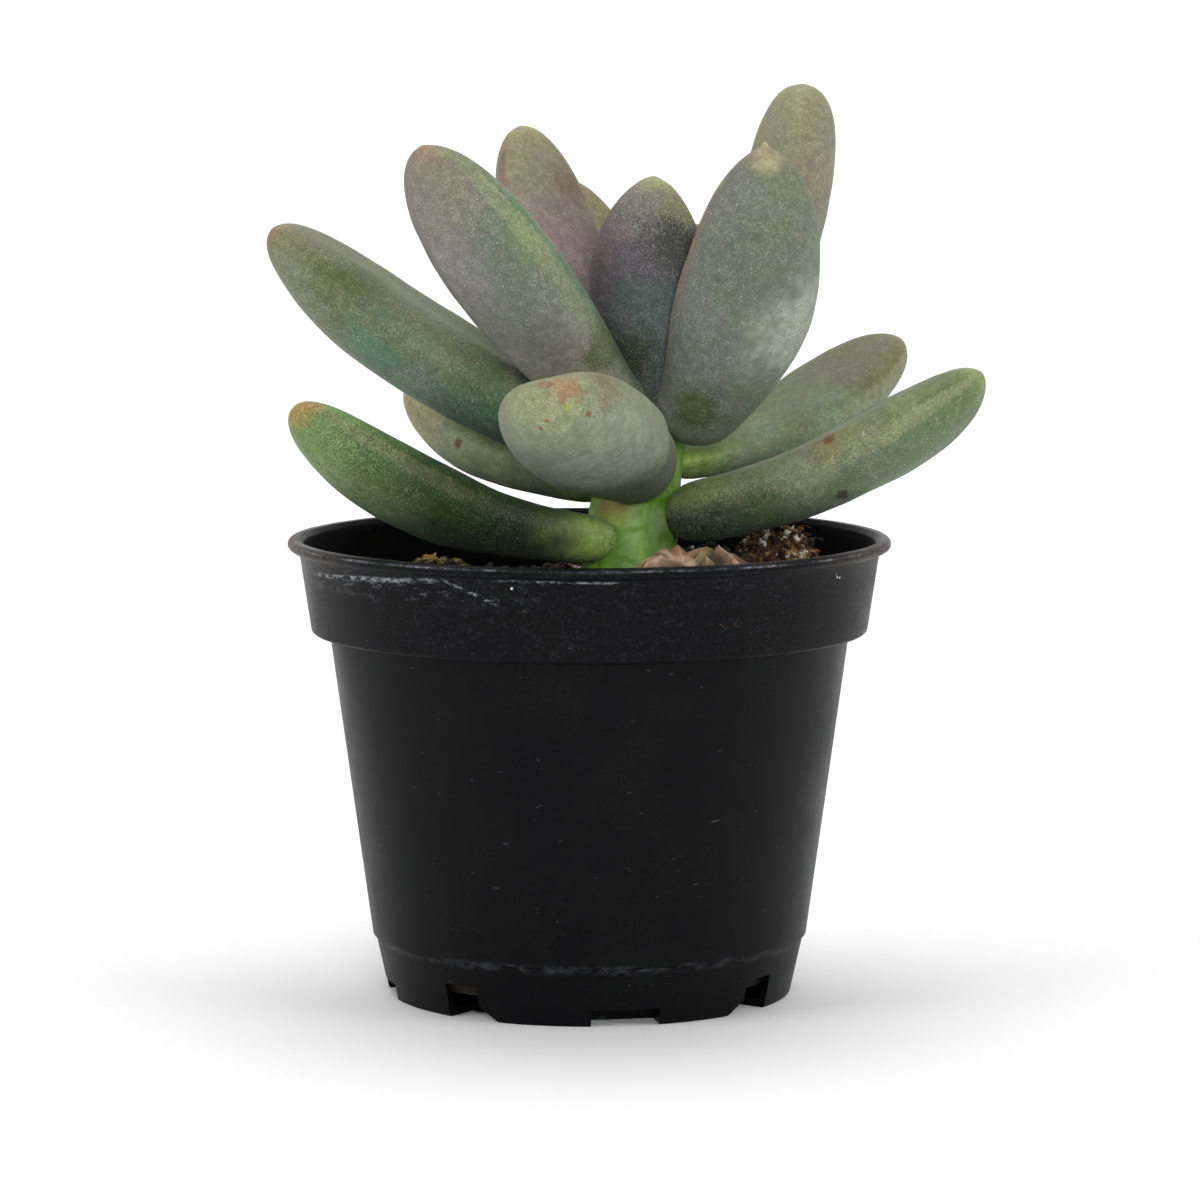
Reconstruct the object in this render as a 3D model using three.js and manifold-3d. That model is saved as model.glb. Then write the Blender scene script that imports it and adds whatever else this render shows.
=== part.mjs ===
// Potted draco pachyveria: a rosette of fleshy leaves on a short stem, in a plastic nursery pot.
// Millimetres, +Z up. The origin is the middle of the pot's base, on the surface that it stands on.
// The side shown to the viewer faces -Y.
import * as THREE from "three";
import { mergeVertices } from "three/addons/utils/BufferGeometryUtils.js";
import Module from "manifold-3d";

const wasm = await Module();
wasm.setup();

// Clearance between neighbouring pieces
const GAP = 0.3;

// Pot
const POT = {
  height: 77.5,
  lipRadius: 51,
  lipDepth: 1.9,
  lipWidth: 1.9,
  collarTopRadius: 49.1,
  collarBottomRadius: 47.1,
  collarBottom: 61.7,
  wallTopRadius: 44,
  ledgeHeight: 10,
  ledgeRadius: 36.9,
  ledgeDepth: 0.5,
  ledgeSlope: 0.1,
  footRadius: 34.3,
  rounding: 0.6,
  wall: 1.1,
  floor: 1.4,
  sides: 64,
};
// Ring-shaped recess under the base, between the middle disc and the foot ring
const RECESS = { innerRadius: 16, outerRadius: 27, height: 2.2, slope: 1.2 };
// Openings at the foot: angle from the viewer's side towards +X, in degrees. A notch is flared at
// its lower corner on one side only: towards +X where flare is 1, and away from it where it is -1.
const NOTCHES = [
  { angle: -37, flare: 1 },
  { angle: 53, flare: -1 },
  { angle: 143, flare: 1 },
  { angle: 233, flare: -1 },
];
const NOTCH = { width: 6.5, height: 5.8, flareWidth: 3.4, flareHeight: 2.4 };
const SLOT = { angles: [10, 100, 190, 280], width: 11.5, height: 2.8 };
const OPENING_REACH = { inner: 28, outer: 38 };
const BELOW_BASE = -1;

// Soil: its level at the pot's wall, and a mound around the stem
const SOIL = {
  bottom: 3.9,
  bottomChamfer: 2.4,
  level: 66.5,
  mound: 5,
  moundX: 7,
  moundY: 0,
  moundSpread: 20,
  ripple: 0.35,
  rippleLengthX: 4.1,
  rippleLengthY: 3.7,
  surfaceRings: 6,
  sides: 32,
};

// Stem: it stands straight in the soil, and leans towards +X and thins near its top
const STEM = {
  bottom: 57,
  top: 104,
  bottomX: 6.3,
  topX: 12.5,
  lean: 2.5,
  bottomY: -1,
  topY: 0.5,
  bottomRadius: 8,
  topRadius: 5.2,
  taper: 3,
  endRounding: 3,
  endShrink: 0.6,
  rings: 18,
  sides: 24,
};

// Leaves, oldest first, by where they leave the stem.
// around: side of the stem, in degrees from +X. height: where it leaves the stem. out: how far from
// the stem's middle it starts, in stem radii. rise: slope at its base and at its tip. heading: the
// way it points, and sway: how far that turns by the tip. roll: twist about its own length.
// belly: place of the widest part. neck: width at the base as a share of the widest. tip and point:
// how blunt it ends.
const LEAVES = [
  { name: "leaf_01_low_left", around: 244, out: 0.74, height: 77.8, length: 61.5, width: 21.5,
    thick: 12, rise: [-0.5, 46.5], heading: 193, sway: 6, roll: 13, belly: 0.62, neck: 0.47,
    tip: 2.1, point: 2.1 },
  { name: "leaf_02_low_right", around: 323, out: 0.9, height: 81.2, length: 59, width: 19,
    thick: 13, rise: [9.5, 40.5], heading: 353, belly: 0.66, neck: 0.6 },
  { name: "leaf_03_low_back_left", around: 146, out: 0.75, height: 86, length: 44.5, width: 19,
    thick: 12, rise: [7, 34], heading: 147, roll: -12, belly: 0.6, neck: 0.44, tip: 1.8 },
  { name: "leaf_04_front", around: 286, out: 0.62, height: 89, length: 51, width: 24, thick: 15.5,
    rise: [14, 22], heading: 243, sway: 13, roll: 14, belly: 0.5, neck: 0.6, tip: 2.6, point: 2.4 },
  { name: "leaf_05_right", around: 28, out: 0.76, height: 89, length: 51.3, width: 20, thick: 10.5,
    rise: [8, 39.5], heading: 27, sway: 8, roll: 8, belly: 0.66, neck: 0.36 },
  { name: "leaf_06_left", around: 174, out: 0.53, height: 92, length: 70.6, width: 21,
    thick: 15.6, rise: [20, 44], heading: 176, roll: -8, belly: 0.52, neck: 0.56, tip: 2.2,
    point: 2.3 },
  { name: "leaf_07_front_right", around: 323, out: 0.98, height: 95, length: 55, width: 24,
    thick: 13, rise: [40, 92], heading: 316, sway: -20, roll: -18, belly: 0.5, neck: 0.6,
    tip: 1.9, point: 1.85 },
  { name: "leaf_08_back", around: 75, height: 94.5, length: 60.5, width: 18, thick: 12,
    rise: [28, 60], heading: 105, sway: 13, belly: 0.6, neck: 0.45 },
  { name: "leaf_09_front_left", around: 240, out: 0.49, height: 95.5, length: 63.5, width: 26,
    thick: 15, rise: [41, 58], heading: 209, roll: 7, belly: 0.57, neck: 0.49, tip: 2.2 },
  { name: "leaf_10_upper_right", around: 4, out: 0.87, height: 96.5, length: 61.5, width: 21,
    thick: 14, rise: [53.5, 86.5], heading: 13, roll: 4, belly: 0.62, neck: 0.45, tip: 2.8,
    point: 2.5 },
  { name: "leaf_11_upper_left", around: 112, out: 0.48, height: 98, length: 56.5, width: 18.8,
    thick: 12, rise: [42, 78], heading: 140, roll: -9, belly: 0.6, neck: 0.45 },
  { name: "leaf_12_inner_front", around: 300, height: 98, length: 42, width: 20.5, thick: 11,
    rise: [58, 108], heading: 249, roll: 16, belly: 0.57, neck: 0.45, tip: 1.6, point: 1.75 },
  { name: "leaf_13_low_back", around: 69, out: 0.74, height: 88.5, length: 47, width: 19, thick: 12,
    rise: [5, 34], heading: 76, belly: 0.62, neck: 0.45 },
  { name: "leaf_14_inner_back_right", around: 46, out: 0.68, height: 100, length: 33, width: 13,
    thick: 8, rise: [55, 72], heading: 72, belly: 0.55, neck: 0.5 },
  { name: "leaf_15_inner_left", around: 142, out: 0.4, height: 101.5, length: 25, width: 11,
    thick: 7, rise: [66, 88], heading: 175, belly: 0.55, neck: 0.5 },
  { name: "leaf_16_inner_right", around: 350, out: 0.75, height: 102, length: 19, width: 9,
    thick: 6, rise: [78, 96], heading: 345, belly: 0.55, neck: 0.5 },
  { name: "leaf_17_young_back", around: 88, out: 0.52, height: 103, length: 14, width: 7,
    thick: 4.5, rise: [70, 88], heading: 115, belly: 0.55, neck: 0.5 },
  { name: "leaf_18_young_front", around: 251, out: 0.46, height: 103.5, length: 9, width: 5,
    thick: 3.5, rise: [78, 90], heading: 230, belly: 0.55, neck: 0.5 },
];
const LEAF_DEFAULTS = { out: 0.6, sway: 0, roll: 0, tip: 2, point: 2 };
// Cross-section: the upper face is flatter than the lower one, which bellies out. upperShare is the
// part of the thickness above the widest line, and a fullness under 1 is squarer than an ellipse.
const LEAF_SECTION = { upperShare: 0.4, sideFullness: 0.92, upperFullness: 0.8, lowerFullness: 0.95 };
// How a leaf narrows at its very base, and how much less its thickness narrows than its width
const LEAF_HEEL = { length: 0.12, start: 0.5 };
const LEAF_THICK_NECK = 0.2;
const LEAF_MESH = { rings: 13, sides: 14, youngRings: 9, youngSides: 10, youngLength: 30, steps: 120 };

// Dried leaf lying on the soil: an arched, crinkled shell
const DRIED_LEAF = {
  x: 16, y: -14, length: 21, width: 9, endWidth: 0.25, arch: 5.4, endArch: 0.3, thick: 1, turn: 8,
  crinkle: 0.7, crinkles: 5, alongSteps: 14, acrossSteps: 6,
};

// Clod of soil at the back right. Its lumps are waves in its outline, counted round and upwards.
const CLOD = {
  x: 32.3, y: 18, width: 12.5, depth: 12, height: 9.2, below: 0.4, lump: 0.09, roundLumps: 5,
  upLumps: 3, poleGap: 0.08, rings: 8, sides: 14, ringStep: 0.02,
};

// Clearance under the pieces that lie on the uneven soil
const SOIL_CLEARANCE = 0.35;

const COLOURS = {
  pot: { color: 0x17181b, roughness: 0.45, metalness: 0 },
  soil: { color: 0x2a2019, roughness: 0.95, metalness: 0 },
  stem: { color: 0x8aa53c, roughness: 0.5, metalness: 0 },
  leaf: { color: 0x6f7d64, roughness: 0.6, metalness: 0 },
  driedLeaf: { color: 0xa98863, roughness: 0.85, metalness: 0 },
  clod: { color: 0x5e4a38, roughness: 0.95, metalness: 0 },
};

const radians = THREE.MathUtils.degToRad;
const smooth = (share) => THREE.MathUtils.smoothstep(share, 0, 1);
const mix = THREE.MathUtils.lerp;

// A solid for cutting, from a closed geometry
function solidOf(geometry) {
  const bare = geometry.clone();
  bare.deleteAttribute("normal");
  bare.deleteAttribute("uv");
  const merged = mergeVertices(bare, 1e-4);
  return new wasm.Manifold(
    new wasm.Mesh({
      numProp: 3,
      vertProperties: new Float32Array(merged.attributes.position.array),
      triVerts: new Uint32Array(merged.index.array),
    }),
  );
}

// The largest single body of a solid: a cut can leave a sliver beside it
function geometryOf(solid) {
  const bodies = solid.decompose();
  const largest = bodies.reduce((best, body) => (body.volume() > best.volume() ? body : best));
  const mesh = largest.getMesh();
  const geometry = new THREE.BufferGeometry();
  geometry.setAttribute("position", new THREE.BufferAttribute(mesh.vertProperties, 3));
  geometry.setIndex(new THREE.BufferAttribute(mesh.triVerts, 1));
  geometry.computeVertexNormals();
  return geometry;
}

function namedMesh(name, geometry, look) {
  const mesh = new THREE.Mesh(geometry, new THREE.MeshStandardMaterial(look));
  mesh.name = name;
  return mesh;
}

// A closed skin over rings of points that run anticlockwise seen from the far end
function loft(rings) {
  const sides = rings[0].length;
  const centreOf = (ring) =>
    ring.reduce((sum, p) => sum.add(p), new THREE.Vector3()).divideScalar(sides);
  const points = [centreOf(rings[0]), ...rings.flat(), centreOf(rings.at(-1))];
  const last = points.length - 1;
  const faces = [];
  for (let side = 0; side < sides; side++) {
    const next = (side + 1) % sides;
    faces.push(0, 1 + next, 1 + side);
    for (let ring = 0; ring < rings.length - 1; ring++) {
      const a = 1 + ring * sides + side;
      const b = 1 + ring * sides + next;
      faces.push(a, b, b + sides, a, b + sides, a + sides);
    }
    faces.push(last - sides + side, last - sides + next, last);
  }
  const geometry = new THREE.BufferGeometry();
  geometry.setAttribute(
    "position",
    new THREE.Float32BufferAttribute(points.flatMap((p) => p.toArray()), 3),
  );
  geometry.setIndex(faces);
  return geometry;
}

// Pot

function potProfile() {
  const p = POT;
  const lipBottom = p.height - p.lipDepth;
  const inside = (radius) => radius - p.wall;
  const recessTop = RECESS.height + p.floor;
  return [
    [0, 0],
    [RECESS.innerRadius, 0],
    [RECESS.innerRadius + RECESS.slope, RECESS.height],
    [RECESS.outerRadius - RECESS.slope, RECESS.height],
    [RECESS.outerRadius, 0],
    [p.footRadius, 0],
    [p.ledgeRadius - p.ledgeDepth, p.ledgeHeight - p.ledgeSlope],
    [p.ledgeRadius, p.ledgeHeight + p.ledgeSlope],
    [p.wallTopRadius, p.collarBottom],
    [p.collarBottomRadius - p.rounding, p.collarBottom],
    [p.collarBottomRadius, p.collarBottom + p.rounding],
    [p.collarTopRadius, lipBottom],
    [p.lipRadius - p.rounding, lipBottom],
    [p.lipRadius, p.height - p.lipDepth / 2],
    [p.lipRadius - p.rounding, p.height],
    [p.lipRadius - p.lipWidth, p.height],
    [inside(p.collarTopRadius), lipBottom],
    [inside(p.collarBottomRadius), p.collarBottom + p.wall],
    [inside(p.wallTopRadius), p.collarBottom + p.wall],
    [inside(p.ledgeRadius), p.ledgeHeight],
    [inside(p.footRadius), p.floor],
    [RECESS.outerRadius + p.floor / 2, p.floor],
    [RECESS.outerRadius - RECESS.slope, recessTop],
    [RECESS.innerRadius + RECESS.slope, recessTop],
    [RECESS.innerRadius - p.floor / 2, p.floor],
    [0, p.floor],
  ].map(([radius, height]) => new THREE.Vector2(radius, height));
}

// An outline through the foot, pushed out along its angle
function footOpening(angle, outline) {
  const depth = OPENING_REACH.outer - OPENING_REACH.inner;
  const shape = new THREE.Shape(outline.map(([across, up]) => new THREE.Vector2(across, up)));
  const geometry = new THREE.ExtrudeGeometry(shape, { depth, bevelEnabled: false });
  geometry.rotateX(Math.PI / 2);
  geometry.translate(0, -OPENING_REACH.inner, 0);
  geometry.rotateZ(radians(angle));
  return solidOf(geometry);
}

function notchOutline(flare) {
  const half = NOTCH.width / 2;
  const flared = half + NOTCH.flareWidth;
  return [
    [-half, BELOW_BASE], [flared, BELOW_BASE], [flared, 0], [half, NOTCH.flareHeight],
    [half, NOTCH.height], [-half, NOTCH.height],
  ].map(([across, up]) => [across * flare, up]);
}

function slotOutline() {
  const half = SLOT.width / 2;
  return [[-half, BELOW_BASE], [half, BELOW_BASE], [half, SLOT.height], [-half, SLOT.height]];
}

function buildPot() {
  let solid = solidOf(latheAroundZ(potProfile(), POT.sides));
  for (const { angle, flare } of NOTCHES) solid = solid.subtract(footOpening(angle, notchOutline(flare)));
  for (const angle of SLOT.angles) solid = solid.subtract(footOpening(angle, slotOutline()));
  return namedMesh("nursery_pot", geometryOf(solid), COLOURS.pot);
}

// LatheGeometry turns about Y, so its result is stood up along Z
function latheAroundZ(profile, sides) {
  const geometry = new THREE.LatheGeometry(profile, sides);
  geometry.rotateX(Math.PI / 2);
  return geometry;
}

// Soil

function soilHeight(x, y) {
  const distance = (x - SOIL.moundX) ** 2 + (y - SOIL.moundY) ** 2;
  const mound = SOIL.mound * Math.exp(-distance / (2 * SOIL.moundSpread ** 2));
  const ripple = Math.sin(x / SOIL.rippleLengthX) * Math.cos(y / SOIL.rippleLengthY);
  return SOIL.level + mound + SOIL.ripple * ripple;
}

function potInnerRadius(z) {
  if (z > POT.collarBottom + POT.wall) {
    const share = (z - POT.collarBottom) / (POT.height - POT.collarBottom);
    return mix(POT.collarBottomRadius, POT.collarTopRadius, share) - POT.wall;
  }
  const share = (z - POT.ledgeHeight) / (POT.collarBottom - POT.ledgeHeight);
  return mix(POT.ledgeRadius, POT.wallTopRadius, share) - POT.wall;
}

function buildSoil(grownStem) {
  const step = POT.collarBottom + POT.wall;
  const foot = potInnerRadius(POT.ledgeHeight) - GAP;
  const edge = potInnerRadius(SOIL.level) - 2 * GAP;
  const surface = Array.from({ length: SOIL.surfaceRings + 1 }, (_, i) => [
    edge * (1 - i / SOIL.surfaceRings),
    SOIL.level,
  ]);
  const profile = [
    [0, SOIL.bottom],
    [foot - SOIL.bottomChamfer, SOIL.bottom],
    [foot, POT.ledgeHeight + GAP],
    [potInnerRadius(POT.collarBottom) - GAP, step + GAP],
    [potInnerRadius(step + GAP) - 2 * GAP, step + GAP],
    ...surface,
  ].map(([radius, height]) => new THREE.Vector2(radius, height));
  const geometry = latheAroundZ(profile, SOIL.sides);
  const place = geometry.attributes.position;
  for (let i = 0; i < place.count; i++) {
    const onSurface = Math.abs(place.getZ(i) - SOIL.level) < GAP;
    if (onSurface) place.setZ(i, soilHeight(place.getX(i), place.getY(i)));
  }
  return namedMesh("potting_soil", geometryOf(solidOf(geometry).subtract(grownStem)), COLOURS.soil);
}

// Stem

function stemAt(z) {
  const share = Math.max(0, (z - STEM.bottom) / (STEM.top - STEM.bottom));
  return {
    centre: new THREE.Vector3(
      mix(STEM.bottomX, STEM.topX, share ** STEM.lean),
      mix(STEM.bottomY, STEM.topY, share),
      z,
    ),
    radius: mix(STEM.bottomRadius, STEM.topRadius, share ** STEM.taper),
  };
}

function stemGeometry(grow) {
  const rings = [];
  for (let i = 0; i < STEM.rings; i++) {
    const z = mix(STEM.bottom - grow, STEM.top + grow, i / (STEM.rings - 1));
    const { centre, radius } = stemAt(z);
    const toEnd = Math.min(z - STEM.bottom + grow, STEM.top + grow - z) / STEM.endRounding;
    const rounded = toEnd < 1 ? Math.sqrt(1 - STEM.endShrink * (1 - toEnd) ** 2) : 1;
    const r = radius * rounded + grow;
    rings.push(ringAround(STEM.sides, (c, s) => new THREE.Vector3(centre.x + r * c, centre.y + r * s, z)));
  }
  return loft(rings);
}

function ringAround(sides, place) {
  return Array.from({ length: sides }, (_, i) => {
    const angle = (2 * Math.PI * i) / sides;
    return place(Math.cos(angle), Math.sin(angle));
  });
}

// Leaves

// The leaf's own directions at a share of its length: along it, across it, and out of its upper face
function leafDirections(leaf, share) {
  const rise = radians(mix(leaf.rise[0], leaf.rise[1], share));
  const heading = radians(leaf.heading + leaf.sway * share);
  const along = new THREE.Vector3(
    Math.cos(rise) * Math.cos(heading),
    Math.cos(rise) * Math.sin(heading),
    Math.sin(rise),
  );
  const across = new THREE.Vector3(-Math.sin(heading), Math.cos(heading), 0);
  across.applyAxisAngle(along, radians(leaf.roll));
  const upper = new THREE.Vector3().crossVectors(along, across);
  return { along, across, upper };
}

// The middle line, from inside the stem to the tip
function leafPath(leaf) {
  const { centre, radius } = stemAt(leaf.height);
  const side = radians(leaf.around);
  const start = new THREE.Vector3(Math.cos(side), Math.sin(side), 0);
  const path = [centre.addScaledVector(start, leaf.out * radius)];
  const step = leaf.length / LEAF_MESH.steps;
  for (let i = 0; i < LEAF_MESH.steps; i++) {
    const { along } = leafDirections(leaf, (i + 0.5) / LEAF_MESH.steps);
    path.push(path.at(-1).clone().addScaledVector(along, step));
  }
  return path;
}

// Half width and thickness at a share of the leaf's length
function leafSize(leaf, share) {
  const past = Math.max(0, (share - leaf.belly) / (1 - leaf.belly));
  const cap = Math.max(0, 1 - past ** leaf.tip) ** (1 / leaf.point);
  const intoHeel = 1 - Math.min(1, share / LEAF_HEEL.length);
  const heel = mix(LEAF_HEEL.start, 1, Math.sqrt(1 - intoHeel ** 2));
  const fullness = smooth(share / leaf.belly);
  const thickNeck = Math.min(1, leaf.neck + LEAF_THICK_NECK);
  return {
    half: (leaf.width / 2) * mix(leaf.neck, 1, fullness) * cap * heel,
    thick: leaf.thick * mix(thickNeck, 1, fullness) * cap * heel,
  };
}

// A point of the cross-section, off the leaf's middle line
function leafSection(half, thick, c, s, grow) {
  const { upperShare, sideFullness, upperFullness, lowerFullness } = LEAF_SECTION;
  const lateral = half * Math.sign(c) * Math.abs(c) ** sideFullness;
  const lift = s > 0
    ? upperShare * thick * Math.abs(s) ** upperFullness
    : -(1 - upperShare) * thick * Math.abs(s) ** lowerFullness;
  return { lateral: lateral + grow * c, lift: lift + (0.5 - upperShare) * thick + grow * s };
}

function leafGeometry(leaf, grow) {
  const young = leaf.length < LEAF_MESH.youngLength;
  const rings = young ? LEAF_MESH.youngRings : LEAF_MESH.rings;
  const sides = young ? LEAF_MESH.youngSides : LEAF_MESH.sides;
  const path = leafPath(leaf);
  const skin = [];
  for (let i = 0; i < rings; i++) {
    const k = i / (rings - 1);
    const tipward = Math.sin((Math.max(0, 2 * k - 1) * Math.PI) / 2);
    const share = k < 0.5 ? 2 * k * leaf.belly : mix(leaf.belly, 1, tipward);
    const { along, across, upper } = leafDirections(leaf, share);
    const { half, thick } = leafSize(leaf, share);
    const overrun = grow * (2 * k - 1);
    const centre = path[Math.round(share * LEAF_MESH.steps)].clone().addScaledVector(along, overrun);
    if (half === 0 && grow === 0) {
      skin.push(null);
      continue;
    }
    skin.push(ringAround(sides, (c, s) => {
      const { lateral, lift } = leafSection(half, thick, c, s, grow);
      return centre.clone().addScaledVector(across, lateral).addScaledVector(upper, lift);
    }));
  }
  return loftToTip(skin, path.at(-1));
}

// With no growth the last ring is only the tip point
function loftToTip(skin, tip) {
  if (skin.at(-1)) return loft(skin);
  const rings = skin.slice(0, -1);
  const geometry = loft(rings);
  const place = geometry.attributes.position;
  place.setXYZ(place.count - 1, tip.x, tip.y, tip.z);
  return geometry;
}

function boxesMeet(a, b) {
  const first = a.boundingBox();
  const second = b.boundingBox();
  return [0, 1, 2].every((i) => first.min[i] <= second.max[i] && second.min[i] <= first.max[i]);
}

// An older leaf keeps its shape, and a younger one is pressed by it at the base
function buildLeaves(grownStem) {
  const leaves = LEAVES.map((leaf) => ({ ...LEAF_DEFAULTS, ...leaf }));
  const grown = leaves.map((leaf) => solidOf(leafGeometry(leaf, GAP)));
  return leaves.map((leaf, i) => {
    let solid = solidOf(leafGeometry(leaf, 0)).subtract(grownStem);
    for (const older of grown.slice(0, i)) {
      if (boxesMeet(solid, older)) solid = solid.subtract(older);
    }
    return namedMesh(leaf.name, geometryOf(solid), COLOURS.leaf);
  });
}

// Dried leaf

function buildDriedLeaf() {
  const d = DRIED_LEAF;
  const turn = new THREE.Vector2(Math.cos(radians(d.turn)), Math.sin(radians(d.turn)));
  const rings = [];
  for (let i = 0; i <= d.alongSteps; i++) {
    const along = (i / d.alongSteps) * 2 - 1;
    const half = (d.width / 2) * mix(d.endWidth, 1, Math.sqrt(1 - along ** 2));
    const crest = d.arch * mix(d.endArch, 1, 1 - along ** 2);
    const wave = d.crinkle * Math.sin(d.crinkles * Math.PI * along);
    const top = [];
    const bottom = [];
    for (let j = 0; j <= d.acrossSteps; j++) {
      const across = (j / d.acrossSteps) * 2 - 1;
      const x = d.x + (along * d.length * turn.x) / 2 - across * half * turn.y;
      const y = d.y + (along * d.length * turn.y) / 2 + across * half * turn.x;
      const lift = (crest + wave) * (1 - across ** 2);
      const seat = soilHeight(x, y) + SOIL_CLEARANCE;
      bottom.push(new THREE.Vector3(x, y, seat + lift));
      top.unshift(new THREE.Vector3(x, y, seat + lift + d.thick));
    }
    rings.push([...bottom, ...top]);
  }
  return namedMesh("dried_leaf", geometryOf(solidOf(loft(rings))), COLOURS.driedLeaf);
}

// Clod of soil

function buildClod() {
  const middle = soilHeight(CLOD.x, CLOD.y) + CLOD.height * CLOD.below;
  const pole = (1 - CLOD.poleGap) * (Math.PI / 2);
  const rings = [];
  for (let i = 0; i < CLOD.rings; i++) {
    const polar = mix(-pole, pole, i / (CLOD.rings - 1));
    rings.push(ringAround(CLOD.sides, (c, s) => {
      const lumps = Math.sin(CLOD.roundLumps * c + CLOD.upLumps * polar)
        + Math.sin(CLOD.roundLumps * s - CLOD.upLumps * polar);
      const size = 1 + CLOD.lump * lumps;
      const x = CLOD.x + (CLOD.width / 2) * size * Math.cos(polar) * c;
      const y = CLOD.y + (CLOD.depth / 2) * size * Math.cos(polar) * s;
      const z = middle + CLOD.height * (1 - CLOD.below) * size * Math.sin(polar);
      const seat = soilHeight(x, y) + SOIL_CLEARANCE + CLOD.ringStep * i;
      return new THREE.Vector3(x, y, Math.max(z, seat));
    }));
  }
  return namedMesh("soil_clod", geometryOf(solidOf(loft(rings))), COLOURS.clod);
}

const grownStem = solidOf(stemGeometry(GAP));
const plant = new THREE.Group();
plant.add(namedMesh("stem", stemGeometry(0), COLOURS.stem));
plant.add(...buildLeaves(grownStem));

const pottedPlant = new THREE.Group();
pottedPlant.add(buildPot());
pottedPlant.add(buildSoil(grownStem));
pottedPlant.add(plant);
pottedPlant.add(buildDriedLeaf());
pottedPlant.add(buildClod());

export default pottedPlant;
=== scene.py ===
"""Potted draco pachyveria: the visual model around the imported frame.

Shapes are worked out in millimetres, +Z up, with the origin in the middle of the pot's base and the
viewer on the -Y side, as in the frame. They become metres when a mesh is made.
"""
import math
import random
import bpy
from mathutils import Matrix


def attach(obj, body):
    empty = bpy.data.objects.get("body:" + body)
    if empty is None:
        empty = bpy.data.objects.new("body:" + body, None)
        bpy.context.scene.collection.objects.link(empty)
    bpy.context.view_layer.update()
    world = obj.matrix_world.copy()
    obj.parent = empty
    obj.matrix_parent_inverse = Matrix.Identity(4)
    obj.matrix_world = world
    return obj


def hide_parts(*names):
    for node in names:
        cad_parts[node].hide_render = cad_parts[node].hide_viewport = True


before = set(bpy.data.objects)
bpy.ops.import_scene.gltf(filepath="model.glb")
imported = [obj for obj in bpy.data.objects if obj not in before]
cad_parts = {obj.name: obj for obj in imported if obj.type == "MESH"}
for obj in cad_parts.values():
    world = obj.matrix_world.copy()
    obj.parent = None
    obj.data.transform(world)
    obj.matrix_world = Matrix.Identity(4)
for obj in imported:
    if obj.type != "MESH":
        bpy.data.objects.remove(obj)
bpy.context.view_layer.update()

from types import SimpleNamespace as Values

import bmesh
import bpy
import numpy as np
from mathutils import Matrix, Vector
from mathutils.noise import noise as perlin

MM = 0.001

# Camera, in millimetres and degrees
CAMERA = Values(
    distance=850, height=165, pitch=6.6, yaw=0.12, focal_px=5050, image_px=1200, sensor=36,
)

# Pot
POT = Values(
    height=77.5, lip_radius=51, lip_depth=1.9, lip_width=1.9, collar_top_radius=49.1,
    collar_bottom_radius=47.1, collar_bottom=61.7, wall_top_radius=44, ledge_height=10,
    ledge_radius=36.9, ledge_depth=0.5, foot_radius=34.3, wall=1.1, floor=1.4,
    rounding=0.6, sides=256, sharp_angle=32,
)
RECESS = Values(inner_radius=16, outer_radius=27, height=2.2, slope=1.2)
# Foot openings, as angles from the viewer's side towards +X. A notch is flared on one side.
NOTCHES = [(-37, 1), (53, -1), (143, 1), (233, -1)]
NOTCH = Values(width=6.5, height=5.8, flare_width=3.4, flare_height=2.4)
SLOT = Values(angles=[10, 100, 190, 280], width=11.5, height=2.8)
OPENING_REACH = Values(inner=28, outer=38)

# Soil
SOIL = Values(
    bottom=3.9, bottom_chamfer=2.4, level=66.5, mound=5, mound_x=7, mound_y=0,
    mound_spread=20, ripple=0.35, ripple_length_x=4.1, ripple_length_y=3.7, clearance=0.3,
)
# Low heaps of soil: x, y, height, spread
HEAPS = [(-27, 29, 3.2, 5), (-37.5, 24, 3.2, 3), (20, 13, 3.4, 5), (31, 17, 1.5, 8), (24, -2, 0.8, 6)]

# Stem
STEM = Values(
    bottom=57, top=104, bottom_x=6.3, top_x=12.5, lean=2.5, bottom_y=-1, top_y=0.5,
    bottom_radius=8, top_radius=5.2, taper=3,
)

# Crescent scars of shed leaves: height, and direction and spread in degrees
STEM_SCARS = [
    (79.6, 245, 62), (74.2, 300, 55), (84.5, 300, 40), (76.5, 30, 60), (80.5, 120, 60), (73.5, 170, 50),
]

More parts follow.
